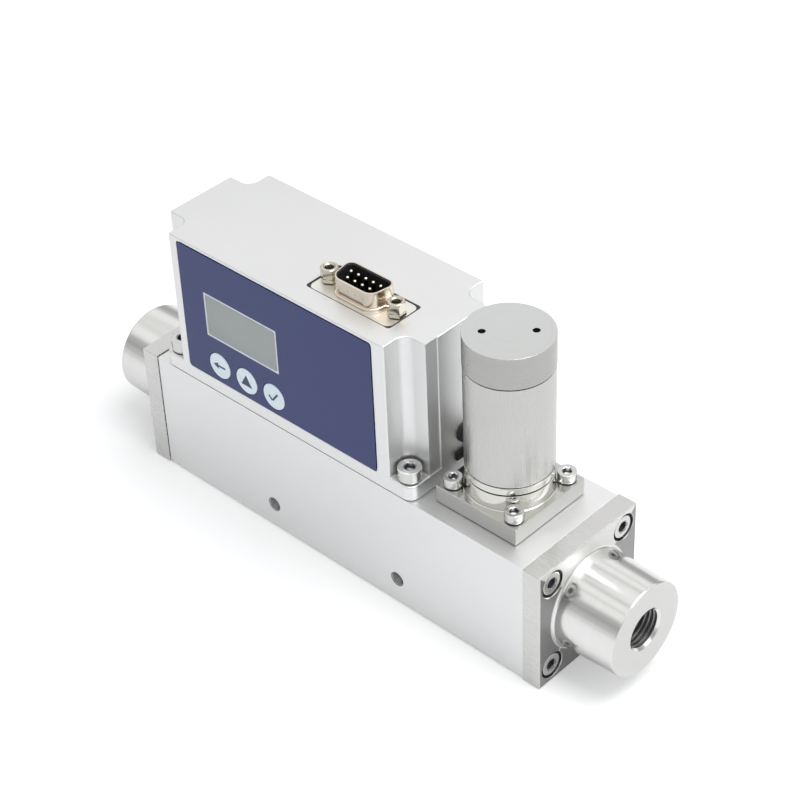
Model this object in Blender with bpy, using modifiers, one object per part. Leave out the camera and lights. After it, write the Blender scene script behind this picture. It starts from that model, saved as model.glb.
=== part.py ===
"""Mass flow controller: flow block with threaded end flanges, control valve and display housing.

Metres, +Z up, +X from inlet to outlet, -Y towards the display. The origin lies under the
middle of the controller, on the surface that the end flanges stand on.
"""
import math

import bmesh
import bpy
from mathutils import Matrix, Vector

# Clearance between pieces that touch
seat_gap = 0.0003

# Facets round a turned piece or a hole, by its size
large_sides = 28
middle_sides = 20
small_sides = 16
screw_sides = 12
tapping_sides = 8

# Flow block: as long as what stands on it needs
block_width = 0.040
block_height = 0.040
block_edge = 0.0004
cover_inset = 0.0040
valve_gap = 0.0040
valve_inset = 0.0072
bypass_bore_radius = 0.008
bypass_end_wall = 0.0152
outlet_bore_radius = 0.005
outlet_overrun = 0.0051
face_hole_spacing = 0.050
face_hole_height = 0.0081
base_hole_spacing = 0.100
tapped_hole_depth = 0.009
tapped_hole_radius = 0.0019
tapped_hole_mouth = 0.0023

# End flanges with their ports
flange_thickness = 0.006
flange_overhang = 0.0004
flange_edge = 0.0003
flange_screw_inset = 0.005
counterbore_radius = 0.0042
counterbore_depth = 0.0044
boss_length = 0.020
boss_root_radius = 0.0150
boss_end_radius = 0.0144
boss_edge = 0.0005
boss_fillet = 0.0009
port_radius = 0.0062
port_depth = 0.015
port_chamfer = 0.0005
port_taper = 0.0010
passage_radius = 0.0045

# Face seals between block and flanges
seal_radius = 0.0108
seal_section = 0.00085

# Screws: M4 socket heads in flanges and housing feet, M3 socket heads in the valve plate
m4_radius = 0.0020
m4_head_radius = 0.0035
m4_head_height = 0.0038
m4_socket_width = 0.0030
m3_radius = 0.0015
m3_head_radius = 0.00275
m3_head_height = 0.0028
m3_socket_width = 0.0025
socket_depth = 0.0019
flange_screw_grip = 0.005
housing_screw_grip = 0.006
valve_screw_grip = 0.008

# Housing cover
cover_length = 0.100
cover_height = 0.0496
cover_wall = 0.0025
cover_front_wall = 0.0022
cover_edge = 0.0004
notch_size = 0.0080
notch_radius = 0.0034
notch_wall = 0.0020
foot_height = 0.0047
foot_radius = 0.0030
end_recess_width = 0.0149
end_recess_depth = 0.0004
end_recess_top = 0.0024

# Front overlay, display window and keys
overlay_low_margin = 0.0114
overlay_high_margin = 0.0128
overlay_height = 0.0437
overlay_thickness = 0.0004
overlay_radius = 0.0012
overlay_offset_z = 0.0046
overlay_pocket = 0.0005
window_width = 0.0280
window_height = 0.0136
window_inset = 0.0242
window_z = 0.0011
window_radius = 0.0006
key_pitch = 0.01117
key_radius = 0.00425
key_x = 0.0005
key_drop = 0.0170
key_crown = 0.00015
key_rim = 0.0010
key_rim_thickness = 0.0008
key_stem_radius = 0.0020
key_travel = 0.0004

# Electronics
display_board_depth = 0.0068
display_board_width = 0.0450
display_board_height = 0.0365
display_board_drop = 0.0045
display_module_width = 0.0340
display_module_height = 0.0200
board_thickness = 0.0012
pillar_radius = 0.0020
pillar_inset = 0.0024
switch_size = 0.0060
switch_height = 0.0024
switch_button_radius = 0.0017
switch_button_height = 0.0012
main_board_low_margin = 0.018
main_board_high_margin = 0.012
main_board_height = 0.0272
header_length = 0.0240
header_height = 0.0050

# Nine-way connector
connector_inset = 0.0281
connector_setback = 0.0134
connector_flange_length = 0.0308
connector_flange_width = 0.0125
connector_flange_thickness = 0.0008
connector_flange_radius = 0.0010
connector_pocket_depth = 0.0013
connector_shell_length = 0.0179
connector_shell_width = 0.0092
connector_shell_radius = 0.0029
connector_shell_height = 0.0060
connector_shell_wall = 0.0005
connector_skirt = 0.0007
connector_skirt_height = 0.0011
connector_slope = math.radians(10.0)
connector_body_length = 0.0190
connector_body_width = 0.0100
connector_body_depth = 0.0060
contact_pitch = 0.00277
contact_row_pitch = 0.00284
contact_radius = 0.0005
contact_height = 0.0053
contact_tail = 0.0034
post_spacing = 0.02499
post_width = 0.00475
post_height = 0.0043
post_bore_radius = 0.0013
post_bore_depth = 0.0034
post_shank_radius = 0.0012
post_shank_length = 0.0035

# Valve on the block
valve_plate_size = 0.0288
valve_plate_thickness = 0.0053
valve_plate_edge = 0.0003
valve_screw_spacing = 0.0220
valve_radius = 0.0125
collar_height = 0.0052
ring_height = 0.0022
can_height = 0.0328
can_wall = 0.0012
can_floor = 0.0015
cap_radius = 0.0126
cap_height = 0.0100
cap_spigot = 0.0020
cap_edge = 0.0003
spanner_hole_radius = 0.0010
spanner_hole_depth = 0.0040
spanner_hole_circle = 0.0071
spanner_angle = math.radians(42.0)
pocket_radius = 0.0065
pocket_depth = 0.0094
channel_radius = 0.0016
channel_run_in = 0.0040
guide_flange_radius = 0.0080
guide_flange_height = 0.0015
guide_outer_radius = 0.0050
guide_wall = 0.0007
guide_height = 0.0455
stop_length = 0.0200
stop_stud_radius = 0.0025
stop_stud_length = 0.0050
plunger_stroke = 0.0008
plunger_spring_bore = 0.0026
plunger_spring_depth = 0.0085
plunger_tip_radius = 0.0026
plunger_tip_length = 0.0060
seat_radius = 0.0040
seat_height = 0.0030
seat_lip_radius = 0.0016
orifice_radius = 0.0009
spring_radius = 0.0019
spring_wire_radius = 0.0003
spring_turns = 5.0
spring_points = 7
bobbin_wall = 0.0008
bobbin_radius = 0.0108
bobbin_height = 0.0282
winding_radius = 0.0102

# Valve lead and the openings of the housing's end wall
wall_opening_y = 0.0023
grommet_z = 0.0121
grommet_radius = 0.0032
grommet_neck_radius = 0.0022
grommet_lip = 0.0011
grommet_mouth_radius = 0.0018
rubber_edge = 0.0004
lead_radius = 0.0007
lead_end_depth = 0.0055
lead_run_in = 0.0031
lead_bend_length = 0.0175
lead_drop = 0.0062
lead_points = 8
plug_length = 0.0082
plug_height = 0.0029
plug_z = 0.0055
plug_lip = 0.0009

# Flow element and sensor
element_radius = 0.0077
element_length = 0.0280
element_slots = 12
element_slot_width = 0.0012
element_slot_depth = 0.0030
element_nose = 0.0030
sensor_offset_x = -0.0020
sensor_y = 0.0010
sensor_port_spacing = 0.0360
sensor_port_radius = 0.0010
sensor_base_length = 0.0480
sensor_base_width = 0.0110
sensor_base_height = 0.0080
sensor_tube_radius = 0.0005
sensor_tube_rise = 0.0110
sensor_tube_foot = 0.0020
sensor_tube_bend = 0.0040
sensor_can_wall = 0.0008
sensor_can_inset = 0.0020
sensor_can_height = 0.0170
sensor_winding_radius = 0.0017
sensor_winding_length = 0.0090
sensor_winding_spacing = 0.0120

# Places worked out from the sizes above
block_length = cover_inset + cover_length + valve_gap + valve_plate_size + valve_inset
block_bottom = flange_overhang
block_top = block_bottom + block_height
axis_z = block_bottom + block_height / 2
block_end = block_length / 2
flange_inner = block_end + seat_gap
flange_outer = flange_inner + flange_thickness
cover_bottom = block_top + seat_gap
cover_top = cover_bottom + cover_height
cover_low_x = -block_end + cover_inset
cover_high_x = cover_low_x + cover_length
cover_centre_x = (cover_low_x + cover_high_x) / 2
cover_width = block_width
cover_front = -cover_width / 2
cover_back = cover_width / 2
valve_x = cover_high_x + valve_gap + valve_plate_size / 2
bypass_bore_end = valve_x - pocket_radius - bypass_end_wall
bypass_bore_depth = bypass_bore_end + block_end + seat_gap
outlet_bore_depth = block_end + seat_gap - valve_x + outlet_overrun
sensor_x = cover_centre_x + sensor_offset_x
foot_top = cover_bottom + foot_height
front_inner = cover_front + cover_front_wall
roof_inner = cover_top - cover_wall
overlay_low_x = cover_low_x + overlay_low_margin
overlay_high_x = cover_high_x - overlay_high_margin
overlay_width = overlay_high_x - overlay_low_x
overlay_x = (overlay_low_x + overlay_high_x) / 2
overlay_low_z = cover_bottom + overlay_offset_z
overlay_z = overlay_low_z + overlay_height / 2
overlay_back = cover_front + overlay_pocket - seat_gap
overlay_front = overlay_back - overlay_thickness
screen_x = overlay_low_x + window_inset
screen_z = overlay_z + window_z
keys_z = screen_z - key_drop
board_front = front_inner + display_board_depth
board_back = board_front + board_thickness
display_board_top = screen_z + display_module_height / 2 + display_board_drop
connector_centre_x = cover_high_x - connector_inset
connector_y = cover_front + connector_setback
connector_seat = cover_top - connector_pocket_depth
connector_flange_bottom = connector_seat + seat_gap
connector_flange_top = connector_flange_bottom + connector_flange_thickness
valve_plate_bottom = block_top + seat_gap
valve_plate_top = valve_plate_bottom + valve_plate_thickness
collar_top = valve_plate_top + collar_height
ring_bottom = collar_top + seat_gap
ring_top = ring_bottom + ring_height
can_bottom = ring_top + seat_gap
can_top = can_bottom + can_height
cap_bottom = can_top + seat_gap
cap_top = cap_bottom + cap_height
guide_bore_radius = guide_outer_radius - guide_wall
guide_top = valve_plate_bottom + guide_height
stop_bottom = guide_top - stop_length
plunger_top = stop_bottom - plunger_stroke - seat_gap
pocket_floor = block_top - pocket_depth
seat_bottom = pocket_floor + seat_gap
seat_top = seat_bottom + seat_height
plunger_bottom = seat_top + seat_gap
wall_opening_z = cover_bottom + grommet_z
plug_centre_z = cover_bottom + plug_z
end_wall_face = cover_high_x - end_recess_depth
sensor_base_top = block_top + seat_gap + sensor_base_height


def empty_scene():
    """Remove every object, so that the part stands alone in the file."""
    for thing in list(bpy.data.objects):
        bpy.data.objects.remove(thing, do_unlink=True)


def new_collection(name):
    """A collection linked to the scene."""
    collection = bpy.data.collections.new(name)
    bpy.context.scene.collection.children.link(collection)
    return collection


empty_scene()
parts = new_collection("mass_flow_controller")
cutters = new_collection("cutters")


def material(name, colour, roughness, metallic=0.0):
    """A plain finish for one sub-part."""
    made = bpy.data.materials.new(name)
    made.use_nodes = True
    shader = made.node_tree.nodes["Principled BSDF"]
    shader.inputs["Base Color"].default_value = (*colour, 1.0)
    shader.inputs["Roughness"].default_value = roughness
    shader.inputs["Metallic"].default_value = metallic
    made.diffuse_color = (*colour, 1.0)
    return made


def finish(thing, made, smooth=True):
    """Give a part its material and smooth shading up to 35 degrees."""
    thing.data.materials.clear()
    thing.data.materials.append(made)
    if smooth:
        thing.data.shade_smooth()
        thing.data.set_sharp_from_angle(angle=math.radians(35.0))
    return thing


def place(name, mesh, collection, matrix=None):
    """Put a mesh in the scene as a named object."""
    thing = bpy.data.objects.new(name, mesh)
    collection.objects.link(thing)
    if matrix is not None:
        thing.matrix_world = matrix
    if collection is cutters:
        thing.hide_render = True
        thing.display_type = "WIRE"
    return thing


def along(axis, origin):
    """A matrix that turns local +Z to the named direction and moves it to origin."""
    turns = {
        "+z": Matrix(),
        "-z": Matrix.Rotation(math.pi, 4, "X"),
        "+x": Matrix.Rotation(math.pi / 2, 4, "Y"),
        "-x": Matrix.Rotation(-math.pi / 2, 4, "Y"),
        "+y": Matrix.Rotation(-math.pi / 2, 4, "X"),
        "-y": Matrix.Rotation(math.pi / 2, 4, "X"),
    }
    return Matrix.Translation(Vector(origin)) @ turns[axis]


def box(name, low, high, collection=parts):
    """A block between two corners, with its origin at its middle."""
    low = Vector(low)
    size = Vector(high) - low
    mesh = bpy.data.meshes.new(name)
    shape = bmesh.new()
    bmesh.ops.create_cube(shape, size=1.0, matrix=Matrix.Diagonal((*size, 1.0)))
    shape.to_mesh(mesh)
    shape.free()
    return place(name, mesh, collection, Matrix.Translation(low + size / 2))


def rod(name, radius, length, matrix, sides=24, collection=cutters, turn=0.0):
    """A cylinder or prism that starts at the matrix's origin and runs along its +Z."""
    mesh = bpy.data.meshes.new(name)
    shape = bmesh.new()
    shift = Matrix.Translation((0.0, 0.0, length / 2)) @ Matrix.Rotation(turn, 4, "Z")
    bmesh.ops.create_cone(
        shape, cap_ends=True, segments=sides,
        radius1=radius, radius2=radius, depth=length, matrix=shift,
    )
    shape.to_mesh(mesh)
    shape.free()
    return place(name, mesh, collection, matrix)


def turned(name, profile, matrix, sides=32, closed=False, collection=parts):
    """A lathe shape: (radius, height) points from top to bottom down the outer side."""
    mesh = bpy.data.meshes.new(name)
    edges = [(i, i + 1) for i in range(len(profile) - 1)]
    if closed:
        edges.append((len(profile) - 1, 0))
    mesh.from_pydata([(radius, 0.0, height) for radius, height in profile], edges, [])
    thing = place(name, mesh, collection, matrix)
    spin = thing.modifiers.new("Spin", "SCREW")
    spin.axis = "Z"
    spin.angle = math.tau
    spin.steps = sides
    spin.render_steps = sides
    spin.use_merge_vertices = True
    spin.merge_threshold = 0.00001
    return baked(thing)


def prism(name, outline, bottom, top, matrix, collection=parts):
    """A flat outline of (x, y) points, given thickness from bottom to top along local Z."""
    flat = bpy.data.curves.new(name, "CURVE")
    flat.dimensions = "2D"
    flat.fill_mode = "BOTH"
    flat.extrude = (top - bottom) / 2
    spline = flat.splines.new("POLY")
    spline.points.add(len(outline) - 1)
    for point, (x, y) in zip(spline.points, outline):
        point.co = (x, y, 0.0, 1.0)
    spline.use_cyclic_u = True
    guide = bpy.data.objects.new(name + "_outline", flat)
    parts.objects.link(guide)
    guide.matrix_world = matrix @ Matrix.Translation((0.0, 0.0, (bottom + top) / 2))
    return meshed(guide, name, collection)


def meshed(guide, name, collection=parts):
    """Turn a curve object into a mesh object with welded caps, in the same place."""
    bpy.context.view_layer.update()
    matrix = guide.matrix_world.copy()
    evaluated = guide.evaluated_get(bpy.context.evaluated_depsgraph_get())
    mesh = bpy.data.meshes.new_from_object(evaluated)
    shape = bmesh.new()
    shape.from_mesh(mesh)
    bmesh.ops.remove_doubles(shape, verts=shape.verts, dist=0.000001)
    bmesh.ops.recalc_face_normals(shape, faces=shape.faces)
    shape.to_mesh(mesh)
    shape.free()
    bpy.data.objects.remove(guide, do_unlink=True)
    return place(name, mesh, collection, matrix)


def baked(thing):
    """Replace an object's mesh by its evaluated one, so that copies can share it."""
    bpy.context.view_layer.update()
    evaluated = thing.evaluated_get(bpy.context.evaluated_depsgraph_get())
    mesh = bpy.data.meshes.new_from_object(evaluated)
    mesh.name = thing.name
    thing.modifiers.clear()
    thing.data = mesh
    return thing


def shape_with(thing, tool, operation="DIFFERENCE"):
    """Cut a tool out of a part, or join it on."""
    modifier = thing.modifiers.new(tool.name, "BOOLEAN")
    modifier.operation = operation
    modifier.solver = "EXACT"
    modifier.object = tool
    return thing


def bevel(thing, width, segments=1, angle=50.0):
    """Break the edges that turn by more than the angle."""
    modifier = thing.modifiers.new("Edges", "BEVEL")
    modifier.width = width
    modifier.segments = segments
    modifier.limit_method = "ANGLE"
    modifier.angle_limit = math.radians(angle)
    return thing


def rounded(corners, radius, steps=4):
    """Outline with an arc of one radius at each corner, anticlockwise corners."""
    outline = []
    count = len(corners)
    for i, corner in enumerate(corners):
        here = Vector(corner)
        back = (Vector(corners[i - 1]) - here).normalized()
        ahead = (Vector(corners[(i + 1) % count]) - here).normalized()
        half = back.angle(ahead) / 2
        centre = here + (back + ahead).normalized() * radius / math.sin(half)
        start = here + back * radius / math.tan(half) - centre
        sweep = math.pi - 2 * half
        for step in range(steps + 1):
            turn = Matrix.Rotation(sweep * step / steps, 2)
            outline.append(tuple(centre + turn @ start))
    return outline


def rectangle(width, height, radius, steps=4, x=0.0, y=0.0):
    """Outline of a rectangle with round corners about (x, y)."""
    left = x - width / 2
    right = x + width / 2
    low = y - height / 2
    high = y + height / 2
    return rounded([(left, low), (right, low), (right, high), (left, high)], radius, steps)


def ring_profile(inner, outer, bottom, top):
    """Closed lathe profile of a plain ring."""
    return [(inner, top), (outer, top), (outer, bottom), (inner, bottom)]


def torus_profile(radius, section, height, steps=6):
    """Closed lathe profile of a seal ring, run down its outer side."""
    turns = [math.pi / 2 - math.tau * step / steps for step in range(steps)]
    return [(radius + section * math.cos(a), height + section * math.sin(a)) for a in turns]


def tube(name, points, radius, collection=parts):
    """A round wire or pipe through points."""
    path = bpy.data.curves.new(name, "CURVE")
    path.dimensions = "3D"
    path.bevel_depth = radius
    path.bevel_resolution = 2
    path.use_fill_caps = True
    spline = path.splines.new("POLY")
    spline.points.add(len(points) - 1)
    for point, place_at in zip(spline.points, points):
        point.co = (*place_at, 1.0)
    guide = bpy.data.objects.new(name + "_path", path)
    parts.objects.link(guide)
    return meshed(guide, name, collection)


def smooth_route(points, steps):
    """Points of a smooth curve through a route's own points."""
    padded = [points[0] * 2 - points[1], *points, points[-1] * 2 - points[-2]]
    route = []
    for i in range(len(points) - 1):
        before, here, after, beyond = padded[i:i + 4]
        for step in range(steps):
            t = step / steps
            bend = (before * 2 - here * 5 + after * 4 - beyond) * t * t
            twist = (here * 3 - before - after * 3 + beyond) * t * t * t
            route.append((here * 2 + (after - before) * t + bend + twist) / 2)
    route.append(points[-1])
    return route


def socket_screw_mesh(name, radius, head_radius, head_height, socket_width, shank):
    """A socket head screw: head up, underside of the head at the origin."""
    profile = [
        (0.0, head_height),
        (head_radius, head_height),
        (head_radius, 0.0),
        (radius, 0.0),
        (radius, -shank),
        (0.0, -shank),
    ]
    screw = turned(name, profile, Matrix(), screw_sides)
    corner_radius = socket_width / 2 / math.cos(math.pi / 6)
    socket_matrix = Matrix.Translation((0.0, 0.0, head_height - socket_depth))
    socket = rod(name + "_socket", corner_radius, socket_depth * 2, socket_matrix, sides=6)
    shape_with(screw, socket)
    baked(screw)
    mesh = screw.data
    bpy.data.objects.remove(screw, do_unlink=True)
    bpy.data.objects.remove(socket, do_unlink=True)
    return mesh


def flange_screw_places():
    """Places (y, z) of the four screws in each end flange."""
    a = block_width / 2 - flange_screw_inset
    b = block_height / 2 - flange_screw_inset
    return [(-a, axis_z - b), (a, axis_z - b), (a, axis_z + b), (-a, axis_z + b)]


def four_corners(spacing):
    """The four (a, b) places of a square pattern, in order round the square."""
    half = spacing / 2
    return [(-half, -half), (half, -half), (half, half), (-half, half)]


bead_blasted = material("bead_blasted_aluminium", (0.80, 0.80, 0.80), 0.45, 0.85)
milled = material("milled_aluminium", (0.70, 0.70, 0.68), 0.32, 1.0)
stainless = material("stainless_steel", (0.62, 0.61, 0.58), 0.25, 1.0)
screw_steel = material("screw_steel", (0.66, 0.65, 0.62), 0.28, 1.0)
nickel = material("nickel_plate", (0.76, 0.70, 0.60), 0.25, 1.0)
rubber = material("black_rubber", (0.02, 0.02, 0.022), 0.65)
seal_rubber = material("seal_rubber", (0.03, 0.02, 0.02), 0.55)
lead_sheath = material("lead_sheath", (0.55, 0.55, 0.54), 0.50)
overlay_blue = material("overlay_film", (0.055, 0.065, 0.19), 0.40)
window_clear = material("display_window", (0.28, 0.31, 0.28), 0.10)
display_grey = material("display_module", (0.26, 0.29, 0.27), 0.35)
key_white = material("key_face", (0.62, 0.76, 0.90), 0.45)
board_green = material("circuit_board", (0.02, 0.16, 0.07), 0.45)
switch_black = material("switch_body", (0.03, 0.03, 0.03), 0.40)
insulator_black = material("connector_insulator", (0.012, 0.012, 0.012), 0.45)
copper = material("copper_winding", (0.60, 0.26, 0.12), 0.40, 0.9)
bobbin_plastic = material("bobbin_plastic", (0.75, 0.72, 0.62), 0.50)
magnetic_steel = material("magnetic_steel", (0.55, 0.54, 0.52), 0.30, 1.0)
spring_steel = material("spring_steel", (0.58, 0.57, 0.55), 0.30, 1.0)


def tapped_hole(name, matrix, depth=tapped_hole_depth):
    """Cutter for a blind tapped hole with a countersunk mouth, opening at local Z 0."""
    lead_in = tapped_hole_mouth - tapped_hole_radius
    profile = [
        (0.0, seat_gap),
        (tapped_hole_mouth + seat_gap, seat_gap),
        (tapped_hole_radius, -lead_in),
        (tapped_hole_radius, -depth),
        (0.0, -depth - tapped_hole_radius / 2),
    ]
    return turned(name, profile, matrix, screw_sides, collection=cutters)


def flow_block():
    """The body of the instrument: bored from both ends, tapped for everything it carries."""
    low = (-block_end, -block_width / 2, block_bottom)
    high = (block_end, block_width / 2, block_top)
    block = box("flow_block", low, high)
    bevel(block, block_edge)

    bypass = along("+x", (-block_end - seat_gap, 0.0, axis_z))
    shape_with(block, rod("bypass_bore", bypass_bore_radius, bypass_bore_depth, bypass, middle_sides))
    outlet = along("-x", (block_end + seat_gap, 0.0, axis_z))
    shape_with(block, rod("outlet_bore", outlet_bore_radius, outlet_bore_depth, outlet, small_sides))
    for side, axis in ((-1, "+x"), (1, "-x")):
        groove_width = 2 * (seal_section + seat_gap)
        groove_depth = 2 * seal_section + seat_gap
        inner = seal_radius - groove_width / 2
        outer = seal_radius + groove_width / 2
        groove = ring_profile(inner, outer, -seat_gap, groove_depth)
        place_at = along(axis, (side * block_end, 0.0, axis_z))
        name = f"seal_groove_{side}"
        shape_with(block, turned(name, groove, place_at, small_sides, True, cutters))
        for i, (y, z) in enumerate(flange_screw_places()):
            start = along(axis, (side * (block_end + seat_gap), y, z))
            hole = rod(
                f"flange_tapping_{side}_{i}", m4_radius + seat_gap,
                flange_screw_grip + 3 * seat_gap, start, tapping_sides,
            )
            shape_with(block, hole)

    pocket = along("-z", (valve_x, 0.0, block_top + seat_gap))
    reach = pocket_depth + seat_gap
    shape_with(block, rod("valve_pocket", pocket_radius, reach, pocket, middle_sides))
    drop = along("-z", (valve_x, 0.0, pocket_floor + seat_gap))
    reach = pocket_floor + seat_gap - axis_z
    shape_with(block, rod("outlet_drop", channel_radius, reach, drop, tapping_sides))
    low_end = Vector((bypass_bore_end - channel_run_in, 0.0, axis_z))
    high_end = Vector((valve_x - seat_radius - channel_radius, 0.0, seat_top + channel_radius))
    run = high_end - low_end
    slant = Matrix.Translation(low_end) @ run.to_track_quat("Z", "Y").to_matrix().to_4x4()
    shape_with(block, rod("inlet_riser", channel_radius, run.length, slant, tapping_sides))
    for i, (a, b) in enumerate(four_corners(valve_screw_spacing)):
        start = along("-z", (valve_x + a, b, block_top + seat_gap))
        reach = valve_screw_grip + 2 * seat_gap
        hole = rod(f"valve_tapping_{i}", m3_radius + seat_gap, reach, start, tapping_sides)
        shape_with(block, hole)

    for i, (x, y) in enumerate(housing_screw_places()):
        start = along("-z", (x, y, block_top + seat_gap))
        reach = housing_screw_grip + 2 * seat_gap
        hole = rod(f"housing_tapping_{i}", m4_radius + seat_gap, reach, start, tapping_sides)
        shape_with(block, hole)
    for side in (-1, 1):
        x = sensor_x + side * sensor_port_spacing / 2
        start = along("-z", (x, sensor_y, block_top + seat_gap))
        reach = block_height / 2 - bypass_bore_radius / 2
        port = rod(f"sensor_port_{side}", sensor_port_radius, reach, start, tapping_sides)
        shape_with(block, port)
        x = side * face_hole_spacing / 2
        face = along("-y", (x, -block_width / 2, block_bottom + face_hole_height))
        shape_with(block, tapped_hole(f"face_hole_{side}", face))
        x = side * base_hole_spacing / 2
        base = along("-z", (x, 0.0, block_bottom))
        shape_with(block, tapped_hole(f"base_hole_{side}", base))
    return finish(block, bead_blasted)


def end_flange(name, side):
    """A square plate and its tapered port boss, turned and milled from one billet."""
    axis = "+x" if side > 0 else "-x"
    side_reach = block_width / 2 + flange_overhang
    rise = block_height / 2 + flange_overhang
    inner = side * flange_inner
    outer = side * flange_outer
    low = (min(inner, outer), -side_reach, axis_z - rise)
    high = (max(inner, outer), side_reach, axis_z + rise)
    plate = box(name, low, high)
    bevel(plate, flange_edge)

    root = []
    for step in range(3):
        turn = math.pi / 2 * step / 2
        radius = boss_root_radius + boss_fillet * (1 - math.cos(turn))
        root.append((radius, boss_fillet * (1 - math.sin(turn))))
    profile = [
        (0.0, boss_length),
        (boss_end_radius - boss_edge, boss_length),
        (boss_end_radius, boss_length - boss_edge),
        *root,
        (boss_root_radius + boss_fillet, -flange_thickness / 2),
        (0.0, -flange_thickness / 2),
    ]
    foot = along(axis, (outer, 0.0, axis_z))
    boss = turned(name + "_boss", profile, foot, large_sides, collection=cutters)
    shape_with(plate, boss, "UNION")

    mouth = boss_length + seat_gap
    port = [
        (0.0, mouth),
        (port_radius + port_chamfer + seat_gap, mouth),
        (port_radius, boss_length - port_chamfer),
        (port_radius, boss_length - port_depth),
        (passage_radius, boss_length - port_depth - port_taper),
        (passage_radius, -flange_thickness - seat_gap),
        (0.0, -flange_thickness - seat_gap),
    ]
    shape_with(plate, turned(name + "_port", port, foot, middle_sides, False, cutters))
    for i, (y, z) in enumerate(flange_screw_places()):
        stepped = [
            (0.0, seat_gap),
            (counterbore_radius, seat_gap),
            (counterbore_radius, -counterbore_depth),
            (m4_radius + seat_gap, -counterbore_depth),
            (m4_radius + seat_gap, -flange_thickness - seat_gap),
            (0.0, -flange_thickness - seat_gap),
        ]
        hole_at = along(axis, (outer, y, z))
        hole = turned(f"{name}_hole_{i}", stepped, hole_at, screw_sides, False, cutters)
        shape_with(plate, hole)
    return finish(plate, milled)


def flange_screws():
    """Four flush socket screws in each end flange."""
    head_seat = counterbore_depth - seat_gap
    shank = flange_thickness + seat_gap + flange_screw_grip - head_seat
    mesh = socket_screw_mesh(
        "flange_screw", m4_radius, m4_head_radius, m4_head_height, m4_socket_width, shank,
    )
    for end, side, axis in (("inlet", -1, "-x"), ("outlet", 1, "+x")):
        for i, (y, z) in enumerate(flange_screw_places()):
            place_at = along(axis, (side * (flange_outer - head_seat), y, z))
            screw = place(f"{end}_flange_screw_{i + 1}", mesh, parts, place_at)
            finish(screw, screw_steel)


def face_seals():
    """An O-ring in the groove at each end of the block."""
    for end, side, axis in (("inlet", -1, "-x"), ("outlet", 1, "+x")):
        place_at = along(axis, (side * block_end, 0.0, axis_z))
        profile = torus_profile(seal_radius, seal_section, -seal_section)
        seal = turned(f"{end}_seal", profile, place_at, small_sides, True)
        finish(seal, seal_rubber)


def flow_element():
    """Fluted plug in the bypass bore, which makes the flow laminar past the sensor ports."""
    half = element_length / 2
    profile = [
        (0.0, half),
        (element_radius - element_nose, half),
        (element_radius, half - element_nose),
        (element_radius, element_nose - half),
        (element_radius - element_nose, -half),
        (0.0, -half),
    ]
    place_at = along("+x", (sensor_x, 0.0, axis_z))
    element = turned("flow_element", profile, place_at, element_slots * 2)
    depth = element_slot_depth
    mesh = bpy.data.meshes.new("flow_element_slots")
    shape = bmesh.new()
    for slot in range(element_slots):
        turn = Matrix.Rotation(math.tau * (slot + 0.5) / element_slots, 4, "Z")
        shift = Matrix.Translation((element_radius, 0.0, 0.0))
        size = Matrix.Diagonal((2 * depth, element_slot_width, 2 * element_length, 1.0))
        bmesh.ops.create_cube(shape, size=1.0, matrix=turn @ shift @ size)
    shape.to_mesh(mesh)
    shape.free()
    shape_with(element, place("flow_element_slots", mesh, cutters, place_at))
    return finish(element, stainless)


def housing_screw_places():
    """Plan positions of the four screws in the feet of the housing cover."""
    inset = notch_size / 2
    places = []
    for x in (cover_low_x + inset, cover_high_x - inset):
        for y in (cover_front + inset, cover_back - inset):
            places.append((x, y))
    return places


def housing_cover():
    """Milled aluminium cover: notched corners, feet, windows and a hollow inside."""
    low = (cover_low_x, cover_front, cover_bottom)
    high = (cover_high_x, cover_back, cover_top)
    cover = box("housing_cover", low, high)
    mesh = bpy.data.meshes.new("cover_corners")
    shape = bmesh.new()
    shape.from_mesh(cover.data)
    upright = [e for e in shape.edges if abs(e.verts[0].co.z - e.verts[1].co.z) > seat_gap]
    bmesh.ops.bevel(
        shape, geom=upright, offset=foot_radius, segments=3, profile=0.5, affect="EDGES",
    )
    shape.to_mesh(mesh)
    shape.free()
    cover.data = mesh

    over = 2 * foot_radius
    corners = [
        (-over, -over), (notch_size, -over), (notch_size, notch_size), (-over, notch_size),
    ]
    for i, (x, y) in enumerate(((1, 1), (-1, 1), (-1, -1), (1, -1))):
        outline = notch_outline(corners)
        corner_x = cover_low_x if x > 0 else cover_high_x
        corner_y = cover_front if y > 0 else cover_back
        outline = [(corner_x + x * a, corner_y + y * b) for a, b in outline]
        notch = prism(f"notch_{i}", outline, foot_top, cover_top + over, Matrix(), cutters)
        shape_with(cover, notch)
    bevel(cover, cover_edge)

    long_low = (cover_low_x + cover_wall, cover_front + notch_size + notch_wall)
    long_high = (cover_high_x - cover_wall, cover_back - notch_size - notch_wall)
    wide_low = (cover_low_x + notch_size + notch_wall, front_inner)
    wide_high = (cover_high_x - notch_size - notch_wall, cover_back - cover_front_wall)
    open_bottom = cover_bottom - seat_gap * 2
    hollow = box("hollow_long", (*long_low, open_bottom), (*long_high, roof_inner), cutters)
    shape_with(cover, hollow)
    hollow = box("hollow_wide", (*wide_low, open_bottom), (*wide_high, roof_inner), cutters)
    shape_with(cover, hollow)
    for i, (x, z) in enumerate(pillar_places()):
        start = along("+y", (x, front_inner - seat_gap, z))
        pillar = rod(f"pillar_{i}", pillar_radius, display_board_depth, start, tapping_sides)
        shape_with(cover, pillar, "UNION")

    for i, (x, y) in enumerate(housing_screw_places()):
        start = along("-z", (x, y, foot_top + seat_gap))
        reach = 2 * foot_height
        hole = rod(f"foot_hole_{i}", m4_radius + seat_gap, reach, start, tapping_sides)
        shape_with(cover, hole)
    cut_front(cover)
    cut_roof(cover)
    cut_end_wall(cover)
    return finish(cover, bead_blasted)


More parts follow.
